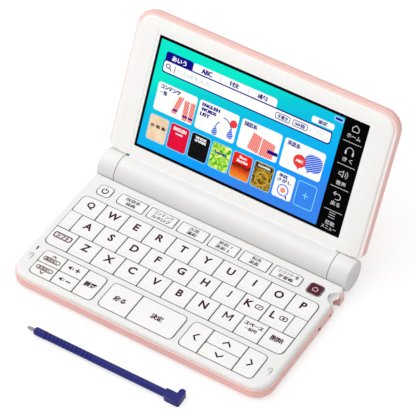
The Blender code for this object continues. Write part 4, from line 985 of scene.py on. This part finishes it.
class DICTIONARY_OT_add_search_panel(bpy.types.Operator):
    """Draw the tabs, the search line with its buttons, and the words in them"""
    bl_idname = "dictionary.add_search_panel"
    bl_label = "Tabs and search line"

    def execute(self, context):
        white, navy = glow("White glow", grey(1)), glow("Navy glow", context.scene.dictionary_screen.navy)
        below, first, second, third = (layer(number) for number in (1, 2, 3, 4))
        marks = [flat_plate(-55.45, 42.95, 59.6, 66.75, below, 1.6), flat_plate(-54.9, -38.7, 65.4, 71.3, below, 1.5),
                 flat_plate(42.3, 46.2, 73.9, 75.1, first, 0.3), flat_plate(-38.8, 42.4, 66.05, 66.65, second)]
        for text, x, width in (("ABC", -30.6, 6.4), ("例文", -14.4, 5.6), ("成句", 2.0, 5.6)):
            marks += heavy_words(text, x, 68.8, 2.7, second, width, strike=0.32)
        marks += [disc(-52.3, 63.7, 1.35, second, 0.5, 24),
                  shaped_plate([(-51.6, 62.9), (-50.3, 61.5), (-49.9, 61.9), (-51.2, 63.3)], second),
                  flat_plate(-48.5, -48.1, 61.4, 65.0, second)]
        for left, text in ((10.9, "手書き"), (20.9, "50音")):
            marks += heavy_words(text, left + 4.3, 63.15, 2.0, second, 6.0)
            marks.append(flat_plate(left, left + 8.6, 61.4, 64.9, second, 1.0, 0.38))
        marks += heavy_words("設定", 36.6, 69.25, 2.2, second, 5.2)
        on_lid("screen_search_marks", marks, navy)

        on_lid("screen_search_panel", [
            flat_plate(-38.9, 10.3, 65.0, 71.1, below, 1.5), flat_plate(-54.9, 42.4, 60.3, 66.1, first, 1.3),
            flat_plate(30.3, 42.9, 67.6, 70.9, first, 0.9)], white)
        on_lid("screen_battery_mark", [flat_plate(41.7, 46.9, 73.2, 75.7, below, 0.8)],
               glow("Battery glow", srgb(158, 204, 250)))
        on_lid("screen_active_tab_word", heavy_words("あいう", -46.9, 68.6, 2.7, third, 8.6, 0.01, 0.16), white)
        on_lid("screen_search_greys", [
            words("ことばを入力", -37.0, 63.2, 2.1, second, 19.0), flat_plate(-22.6, -22.3, 67.5, 70.4, second),
            flat_plate(-6.3, -6.0, 67.5, 70.4, second)], glow("Grey glow", srgb(186, 190, 200)))
        on_lid("screen_search_pales", [
            flat_plate(31.3, 41.2, 61.5, 64.8, second, 1.0, 0.25), words("検索", 36.2, 63.15, 1.9, second, 4.4)],
            glow("Pale glow", srgb(222, 226, 236)))
        return {"FINISHED"}


class DICTIONARY_OT_add_cards(bpy.types.Operator):
    """Draw the four white cards with their titles and motifs"""
    bl_idname = "dictionary.add_cards"
    bl_label = "Cards"

    def execute(self, context):
        settings = context.scene.dictionary_screen
        white, navy = glow("White glow", grey(1)), glow("Navy glow", settings.navy)
        lefts = list_card, word_card, book_card, talk_card = -55.2, -30.5, -5.4, 19.6
        width, low, high = 23.3, 38.7, 54.4
        on_lid("screen_cards", [flat_plate(left, left + width, low, high, layer(1), 1.4) for left in lefts], white)

        marks = []
        for left, lines, size, spans in (
                (list_card, ("コンテンツ", "一覧"), 2.35, (11.8, 4.6)),
                (word_card, ("ENGLISH", "WORDS", "LIST"), 1.9, (10.6, 9.0, 5.8)),
                (book_card, ("国語系",), 2.6, (7.4,)), (talk_card, ("英語系",), 2.6, (7.4,))):
            for row, (text, span) in enumerate(zip(lines, spans)):
                bold = 0.036 if len(text) > 3 else 0.014
                marks += heavy_words(text, left + 1.5 + span / 2, high - 2.1 - row * size * 1.35, size, layer(2),
                                     span, bold, 0.24)
        marks += self.bars(list_card, high, layer(3), ((12.4, 11.2), (12.1, 12.2), 2.9),
                           ((18.4, 12.4), (18.5, 13.4), 2.9), ((21.7, 12.4), (21.7, 13.4), 2.7))
        marks += [arc_band(word_card + 14.9, 44.6, 5.4, 2, 92, 0.5, layer(2)),
                  arc_band(word_card + 15.6, 43.6, 4.0, 125, 178, 0.5, layer(2)),
                  flat_plate(book_card + 17.2, book_card + 23.2, 42.0, 43.9, layer(3), 0.6)]
        on_lid("screen_card_marks", marks, navy)

        coral = glow("Coral stripes glow", striped(srgb(255, 184, 174), opaque(settings.coral), 1.45, 1.0))
        blue = glow("Blue stripes glow", striped(srgb(168, 194, 255), srgb(36, 74, 208), 1.25, -0.6))
        pages = (((5.9, 40.3), (12.3, 39.2), (12.9, 48.5), (7.7, 49.5)),
                 ((12.9, 39.1), (20.6, 39.3), (20.9, 47.4), (13.5, 48.5)))
        on_lid("screen_coral_motifs", [
            *self.bars(list_card, high, layer(2), ((14.5, 3.6), (11.8, 13.6), 2.9), ((18.0, 4.3), (18.5, 15.0), 2.9),
                       ((21.6, 4.2), (21.8, 14.8), 2.7)),
            *(shaped_plate(placed(page, book_card, 0), layer(2)) for page in pages)], coral)
        on_lid("screen_blue_motifs", [
            self.drop(word_card + 11.6, 40.6, 1.6), self.drop(word_card + 20.3, 42.2, 1.75),
            flat_plate(talk_card + 12.7, talk_card + 22.9, 42.1, 51.2, layer(2), 3.6),
            shaped_plate(placed([(15.2, 43.4), (15.4, 40.5), (18.4, 43.4)], talk_card, 0), layer(2))], blue)
        on_lid("screen_red_motifs", [
            disc(word_card + 21.0, 48.9, 2.1, layer(2), sides=28),
            disc(talk_card + 10.3, 45.2, 3.5, layer(3), sides=32),
            shaped_plate(placed([(9.2, 42.4), (10.3, 40.4), (11.4, 42.4)], talk_card, 0), layer(3))],
            glow("Red glow", srgb(238, 62, 58)))
        on_lid("screen_bubble_word", heavy_words("ABC", talk_card + 10.3, 45.2, 1.5, layer(4), 4.4), white)
        return {"FINISHED"}

    def bars(self, left, high, levels, *ends):
        """Slanting bars of a card; each has its start, its end, both from the top left corner, and its width."""
        shapes = [[(end[0] - width / 2, -end[1]), (end[0] + width / 2, -end[1]),
                   (start[0] + width / 2, -start[1]), (start[0] - width / 2, -start[1])] for start, end, width in ends]
        return [shaped_plate(placed(shape, left, high), levels) for shape in shapes]

    def drop(self, x, y, radius):
        """A hanging drop with its tip upwards."""
        return shaped_plate(arc_points(x, y, radius, 150, 390, 18) + [(x, y + 2.8 * radius)], layer(3))


class DICTIONARY_OT_add_tiles(bpy.types.Operator):
    """Draw the row of book covers below the cards"""
    bl_idname = "dictionary.add_tiles"
    bl_label = "Cover tiles"

    def execute(self, context):
        pitch, first, width, low, high = 12.5, -55.3, 10.9, 22.2, 35.9
        lefts = [first + pitch * number for number in range(8)]
        beige, crimson, black, leaf, sunset, gilt, white_cover, empty = lefts
        covers = (
            ("Beige cover glow", patched(0.26, 0, 0, 1.0, (0.35, srgb(250, 228, 196)), (0.7, srgb(236, 200, 160)))),
            ("Crimson cover glow", patched(0.24, 0, 0, 1.0, (0.3, srgb(222, 0, 52)), (0.8, srgb(240, 18, 66)))),
            ("Black cover glow", patched(0.5, 0, 0, 1.0, (0.4, srgb(4, 5, 6)), (0.8, srgb(26, 26, 30)))),
            ("Leaf cover glow", patched(0.33, leaf, low, 1.4, (0.36, srgb(30, 172, 20)), (0.48, srgb(140, 214, 40)),
                                        (0.62, srgb(250, 250, 150)))),
            ("Sunset cover glow", fading(low, high - low, (0.0, srgb(250, 150, 40)), (0.35, srgb(226, 70, 20)),
                                         (0.52, srgb(96, 16, 10)), (0.62, srgb(228, 28, 16)),
                                         (1.0, srgb(250, 40, 22)))),
            ("Gilt cover glow", patched(0.42, gilt, low, 2.0, (0.34, srgb(24, 20, 8)), (0.48, srgb(132, 84, 20)),
                                        (0.58, srgb(206, 176, 52)), (0.72, srgb(64, 96, 24)))))
        on_lid("screen_covers", [
            tinted(flat_plate(x, x + width, low, high, layer(2), 1.3), glow(*cover))
            for x, cover in zip(lefts, covers)], None)
        on_lid("screen_cover_rims", [
            flat_plate(x - 0.4, x + width + 0.4, low - 0.4, high + 0.4, layer(1), 1.5) for x in lefts[:6]],
            glow("Pale rim glow", srgb(150, 205, 240)))
        titles = []
        for x, text, y, size, span in (
                (black, "THE BOOK", 34.0, 1.3, 6.6), (black, "OF WORDS", 32.3, 1.3, 6.6),
                (crimson, "ENGLISH", 33.6, 1.9, 7.6), (crimson, "words", 31.2, 1.1, 4.4),
                (sunset, "Short", 34.0, 1.5, 4.6), (sunset, "Stories", 31.9, 1.7, 6.4),
                (gilt, "FLOWERS", 34.1, 1.1, 7.0)):
            titles += heavy_words(text, x + width / 2, y, size, layer(4), span, strike=0.14)
        on_lid("screen_white_cover", [flat_plate(white_cover, white_cover + width, low, high, layer(2), 1.3), *titles],
               glow("White glow", grey(1)))
        self.cover_prints(beige, leaf, gilt, white_cover, width)
        middle = empty + 5.5
        on_lid("screen_empty_tile", [
            flat_plate(empty, empty + width, low, high, layer(1), 1.3, 0.35), stroke(middle, 29.0, 1.7, 0.2, layer(1)),
            stroke(middle, 29.0, 0.2, 1.7, layer(2))], glow("Sky glow", srgb(140, 228, 255)))
        return {"FINISHED"}

    def cover_prints(self, beige, leaf, gilt, white_cover, width):
        """The words and simple signs on the covers."""
        ring_x, ring_y = white_cover + 5.6, 26.8
        handle = [(1.7, -2.6), (2.5, -4.1), (3.2, -3.7), (2.4, -2.2)]
        on_lid("screen_cover_marks", [
            *heavy_words("単語", white_cover + 4.0, 34.1, 1.9, layer(3), 5.0),
            *heavy_words("さがし", white_cover + 5.3, 31.8, 2.0, layer(3), 8.4),
            *heavy_words("Leaves", leaf + width / 2, 31.2, 1.8, layer(3), 7.4),
            shaped_plate(placed(handle, ring_x, ring_y), layer(3))], bpy.data.materials["Navy glow"])
        on_lid("screen_cover_ring", [disc(ring_x, ring_y, 3.3, layer(3), 0.75, 36)],
               bpy.data.materials["Blue stripes glow"])
        on_lid("screen_cover_dots", [disc(ring_x, ring_y, 1.45, layer(3), sides=20)],
               glow("Soft coral glow", srgb(246, 150, 132)))
        on_lid("screen_cover_darks", [
            flat_plate(gilt + 0.9, gilt + 10.0, 33.1, 35.2, layer(3), 0.3),
            *heavy_words("言 葉 集", beige + width / 2, 30.3, 1.8, layer(3), 9.2)],
            glow("Dark cover print", srgb(30, 28, 24)))
        on_lid("screen_cover_gilt", [disc(gilt + 5.5, 27.7, 3.9, layer(3), 0.9, 32)],
               glow("Gilt glow", srgb(196, 158, 60)))


class DICTIONARY_OT_add_touch_strip(bpy.types.Operator):
    """Draw the white touch marks on the black strip beside the picture"""
    bl_idname = "dictionary.add_touch_strip"
    bl_label = "Touch strip"

    def execute(self, context):
        levels, x = layer(1), 54.1
        parts = [flat_plate(49.1, 59.2, y - 0.13, y + 0.13, levels) for y in (65.6, 53.1, 40.6, 27.8)]
        parts.append(house(x, 73.2, 4.2, 0.36, levels))
        parts += self.headphones(x, 60.9, levels) + self.speaker(x, 48.3, levels) + self.back_arrow(x, 36.0, levels)
        parts += [stroke(x, y, 1.7, 0.13, levels) for y in (24.0, 25.3, 26.6)]
        for text, y, width, height in (("ホーム", 68.9, 7.6, 2.3), ("きく", 56.2, 5.6, 2.3), ("音声", 43.2, 5.4, 2.4),
                                       ("戻る", 31.9, 5.2, 2.4), ("機能", 21.0, 5.2, 2.3), ("メニュー", 18.3, 8.4, 2.0)):
            parts.append(words(text, x, y, height, levels, width, 0.008))
        on_lid("touch_strip_marks", parts, glow("Touch mark glow", srgb(208, 209, 211)))
        return {"FINISHED"}

    def headphones(self, x, y, levels):
        pads = [flat_plate(x + side * 2.0 - 0.45, x + side * 2.0 + 0.45, y - 2.0, y + 0.1, levels, 0.5)
                for side in (-1, 1)]
        return [arc_band(x, y, 2.0, 0, 180, 0.34, levels), *pads]

    def speaker(self, x, y, levels):
        cone = [(-2.6, -0.8), (-1.5, -0.8), (0.0, -2.0), (0.0, 2.0), (-1.5, 0.8), (-2.6, 0.8)]
        return [shaped_plate(placed(cone, x, y), levels, 0.3), arc_band(x - 0.2, y, 1.5, -45, 45, 0.3, levels, 8),
                arc_band(x - 0.2, y, 2.6, -48, 48, 0.3, levels, 10)]

    def back_arrow(self, x, y, levels):
        return [arc_band(x + 0.4, y - 0.3, 1.5, -90, 90, 0.34, levels),
                flat_plate(x - 1.6, x + 0.42, y + 1.03, y + 1.37, levels),
                flat_plate(x - 0.8, x + 0.42, y - 1.97, y - 1.63, levels),
                chevron(x - 1.7, y + 1.2, 2.0, 1.0, 0.4, 90, levels)]


# ---------------------------------------------------------------- small parts

class DICTIONARY_OT_add_small_parts(bpy.types.Operator):
    """Add the lamp lens, the fillers' tops, painted seam shade around the fillers, painted shade rings around the
    bumper pads, the hinge parts, and painted shade and highlight on the sides
    """
    bl_idname = "dictionary.add_small_parts"
    bl_label = "Small parts"

    lens_place: FloatVectorProperty(name="Lens", description="Middle of the lamp lens on the deck", size=2,
                                    subtype="XYZ", unit="LENGTH", default=(-69.9 * MM, -34.41 * MM))

    def execute(self, context):
        lens = self.shade("Dark lamp lens", (0.004, 0.004, 0.005, 1), (0.012, 0.011, 0.013, 1))
        seam = self.shade("Seam shade", (0.040, 0.040, 0.042, 1), (0.060, 0.060, 0.062, 1))
        ring = self.shade("Ring shade", (0.36, 0.355, 0.35, 1), (0.42, 0.415, 0.41, 1))
        x, y = (value / MM for value in self.lens_place)
        finished("lamp_lens", [stroke(x, y, 0.40, 1.20, (9.12, 9.50), 0.36)], "base", lens)
        # Painted shade: dark strips where the fillers' seams would be.
        finished("filler_seam_shade", self.filler_seam_shade(), "base", seam)
        low, high = box("key_a")
        finished("filler_tops", [stroke(side * 66.5, (low.y + high.y) / 2, 3.32, (high.y - low.y) / 2, (DECK, 9.86))
                                 for side in (-1, 1)],
                 "base", bpy.data.materials["White key plastic"])
        self.hinge_parts(seam)
        # Painted shade: grey rings around the bumper pads.
        finished("bumper_ring_shade", [stroke(side * 69.9, -40.3, 1.15, 1.85, (DECK, 9.64), 0.85, 0.42)
                                  for side in (-1, 1)], "base", ring)
        self.side_parts()
        return {"FINISHED"}

    def side_parts(self):
        """Painted shade in the cord hole and in the port's notch, and a painted highlight along the port's edge."""
        hole = self.shade("Hole shade", (0.080, 0.018, 0.020, 1), (0.120, 0.028, 0.030, 1))
        pale_highlight = self.shade("Port edge highlight", (0.94, 0.86, 0.83, 1), (0.97, 0.90, 0.87, 1))
        side, proud = Matrix.Translation((75 * MM, 0, 0)) @ END_ON, 0.02
        finished("cord_hole_shade", [disc(9.19, 4.2, 0.75, (-0.3, proud), sides=20)], "base", hole, side)
        finished("port_notch_shade", [flat_plate(-2.7, -0.8, 3.9, 5.45, (-0.2, proud), 0.6)],
                 "port_cover", hole, side)
        # Painted highlight: a pale outline along the port's edge.
        finished("port_edge_highlight", [flat_plate(-7.6, -3.0, 2.95, 5.45, (-0.2, proud), 0.6, 0.45)],
                 "port_cover", pale_highlight, side)

    def hinge_parts(self, seam):
        """A fillet between barrel and lid, a ring inside the lid's rim, and a dark plate of painted shade in the slot
        at the barrel's left end.
        """
        radius, level = 1.5, -0.5
        middle, foot = level + radius, level - 0.2
        along = math.sqrt((BARREL_RADIUS + radius) ** 2 - middle ** 2)
        start = 180 + math.degrees(math.atan2(middle, along))
        profile = arc_points(along, middle, radius, start, 270, 10) + [(along, foot), (8.0, foot), (8.0, 0.7)]
        finished("barrel_fillet", [shaped_plate(profile[::-1], (-61.6, 61.6))], "lid",
                 bpy.data.materials["White case plastic"], LID_PLACE @ END_ON)
        outline = []
        for x, y, bend, turn in ((65.6, 78.3, 9.4, 0), (-65.6, 78.3, 9.4, 90),
                                 (-71.8, 12.7, 3.4, 180), (71.8, 12.7, 3.4, 270)):
            outline += arc_points(x, y, bend, turn, turn + 90, 7)
        finished("lid_rim_ring", [shaped_plate(outline, (-2.4, -1.45), 1.8)], "lid",
                 bpy.data.materials["Pink lid plastic"], LID_PLACE)
        # Painted shade: a dark plate in the slot at the barrel's left end.
        finished("hinge_slot_shade", [flat_plate(-63.6, -61.6, 8.55, 9.35, (foot, level + 0.06), 0.25)],
                 "lid", seam, LID_PLACE)

    def shade(self, name, first, second):
        """A matt colour with a faint cloud."""
        finish = Finish(name)
        return finish.surface({"Base Color": finish.ramp(finish.noise(900.0), (0.3, first), (0.7, second)),
                               "Roughness": 0.6, SPECULAR: 0.12})

    def filler_seam_shade(self):
        """Dark strips of painted shade on the three free sides of the blank fillers beside the middle letter row,
        where seams would be.
        """
        rear, front = box("key_q")[0].y, box("key_shift")[1].y
        levels, strips = (DECK, 9.62), []
        for side in (-1, 1):
            left, right = sorted((side * 70.0, side * 63.2))
            strips += [flat_plate(left, right, front, front + 0.50, levels),
                       flat_plate(left, right, rear - 0.34, rear, levels),
                       flat_plate(side * 70.0 - 0.18, side * 70.0 + 0.18, front, rear, levels)]
        return strips


# ---------------------------------------------------------------- stage

def seen_mask(net):
    """1 for what the camera sees, also in a gloss or through a clear part, and 0 for the light on things."""
    rays = net.add("LightPath").socket.node.outputs
    camera, glossy, clear = (Value(net, rays["Is %s Ray" % kind]) for kind in ("Camera", "Glossy", "Transmission"))
    return camera.or_more(glossy).or_more(clear)


class DICTIONARY_OT_set_stage(bpy.types.Operator):
    """Set the floor, the soft lamps, the even sky and the camera"""
    bl_idname = "dictionary.set_stage"
    bl_label = "Stage"

    def execute(self, context):
        settings = context.scene.dictionary_stage
        self.floor(settings)
        self.sky(context, settings)
        self.lamp("Overhead lamp", (-0.25, 0.15, 1.5), 1.5, settings.key_lamp)
        self.lamp("Side lamp", (-1.2, -0.7, 0.9), 1.0, settings.side_lamp)
        self.lamp("Front lamp", (0.1, -1.8, 0.7), 1.2, settings.front_lamp)
        self.camera(context, settings)
        context.scene.view_settings.view_transform = "Standard"
        return {"FINISHED"}

    def floor(self, settings):
        clear_selection()
        bpy.ops.mesh.primitive_plane_add(size=6.0, location=(0, 0, 0))
        floor = bpy.context.object
        floor.name = "floor"
        finish = Finish("Pale floor")
        paper, seen = finish.noise(14.0, 4.0), seen_mask(finish)
        lit, shown = (finish.ramp(paper, (0.3, grey(dark)), (0.7, grey(dark + 0.02))) for dark in (0.90, 0.44))
        floor.data.materials.append(finish.surface({
            "Base Color": finish.mix(seen, lit, shown), "Roughness": 0.9, SPECULAR: 0.1,
            "Emission Color": grey(1), "Emission Strength": seen * settings.floor_lift}))

    def sky(self, context, settings):
        world = bpy.data.worlds.new("Even sky")
        context.scene.world = world
        world.use_nodes = True
        net, background = Net(world.node_tree), world.node_tree.nodes["Background"]
        net.feed(background.inputs["Color"], grey(1))
        net.feed(background.inputs["Strength"], seen_mask(net) * (1.0 - settings.sky) + settings.sky)

    def lamp(self, name, place, size, power):
        light = bpy.data.lights.new(name, "AREA")
        light.shape = "DISK"
        light.size = size
        light.energy = power
        lamp = bpy.data.objects.new(name, light)
        lamp.location = place
        lamp.rotation_euler = (-Vector(place)).to_track_quat("-Z", "Y").to_euler()
        bpy.context.scene.collection.objects.link(lamp)

    def camera(self, context, settings):
        right, up, back = (0.84688, 0.53178, 0.0), (-0.39144, 0.62342, 0.67685), (0.35996, -0.57319, 0.73612)
        data = bpy.data.cameras.new("Camera")
        data.sensor_width = 36.0
        data.lens = settings.lens
        data.clip_end = 20.0
        camera = bpy.data.objects.new("Camera", data)
        turn = Matrix((right, up, back)).transposed().to_4x4()
        camera.matrix_world = Matrix.Translation(settings.eye) @ turn
        context.scene.collection.objects.link(camera)
        context.scene.camera = camera


# ---------------------------------------------------------------- add-on

STEPS = (
    DICTIONARY_OT_finish_cases, DICTIONARY_OT_finish_keys, DICTIONARY_OT_finish_inside, DICTIONARY_OT_finish_stylus,
    DICTIONARY_OT_add_letters, DICTIONARY_OT_add_menu_words, DICTIONARY_OT_add_key_words, DICTIONARY_OT_add_key_marks,
    DICTIONARY_OT_add_picture, DICTIONARY_OT_add_search_panel, DICTIONARY_OT_add_cards, DICTIONARY_OT_add_tiles,
    DICTIONARY_OT_add_touch_strip, DICTIONARY_OT_add_small_parts, DICTIONARY_OT_set_stage)
SETTINGS = {"dictionary_finish": FinishSettings, "dictionary_legends": LegendSettings,
            "dictionary_screen": ScreenSettings, "dictionary_stage": StageSettings}


class DICTIONARY_PT_panel(bpy.types.Panel):
    """Lists the steps and the settings of the dictionary"""
    bl_idname = "DICTIONARY_PT_panel"
    bl_label = "Electronic dictionary"
    bl_space_type = "VIEW_3D"
    bl_region_type = "UI"
    bl_category = "Dictionary"

    def draw(self, context):
        for step in STEPS:
            self.layout.operator(step.bl_idname)
        for name, group in SETTINGS.items():
            section = self.layout.box()
            for field in group.__annotations__:
                section.prop(getattr(context.scene, name), field)


def register():
    for group in SETTINGS.values():
        bpy.utils.register_class(group)
    for name, group in SETTINGS.items():
        setattr(bpy.types.Scene, name, PointerProperty(type=group))
    for step in STEPS:
        bpy.utils.register_class(step)
    bpy.utils.register_class(DICTIONARY_PT_panel)


def unregister():
    bpy.utils.unregister_class(DICTIONARY_PT_panel)
    for step in reversed(STEPS):
        bpy.utils.unregister_class(step)
    for name, group in SETTINGS.items():
        delattr(bpy.types.Scene, name)
        bpy.utils.unregister_class(group)


def main():
    """Registers the add-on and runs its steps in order."""
    register()
    for step in STEPS:
        section, name = step.bl_idname.split(".")
        getattr(getattr(bpy.ops, section), name)()
    clear_selection()


if __name__ == "__main__":
    main()
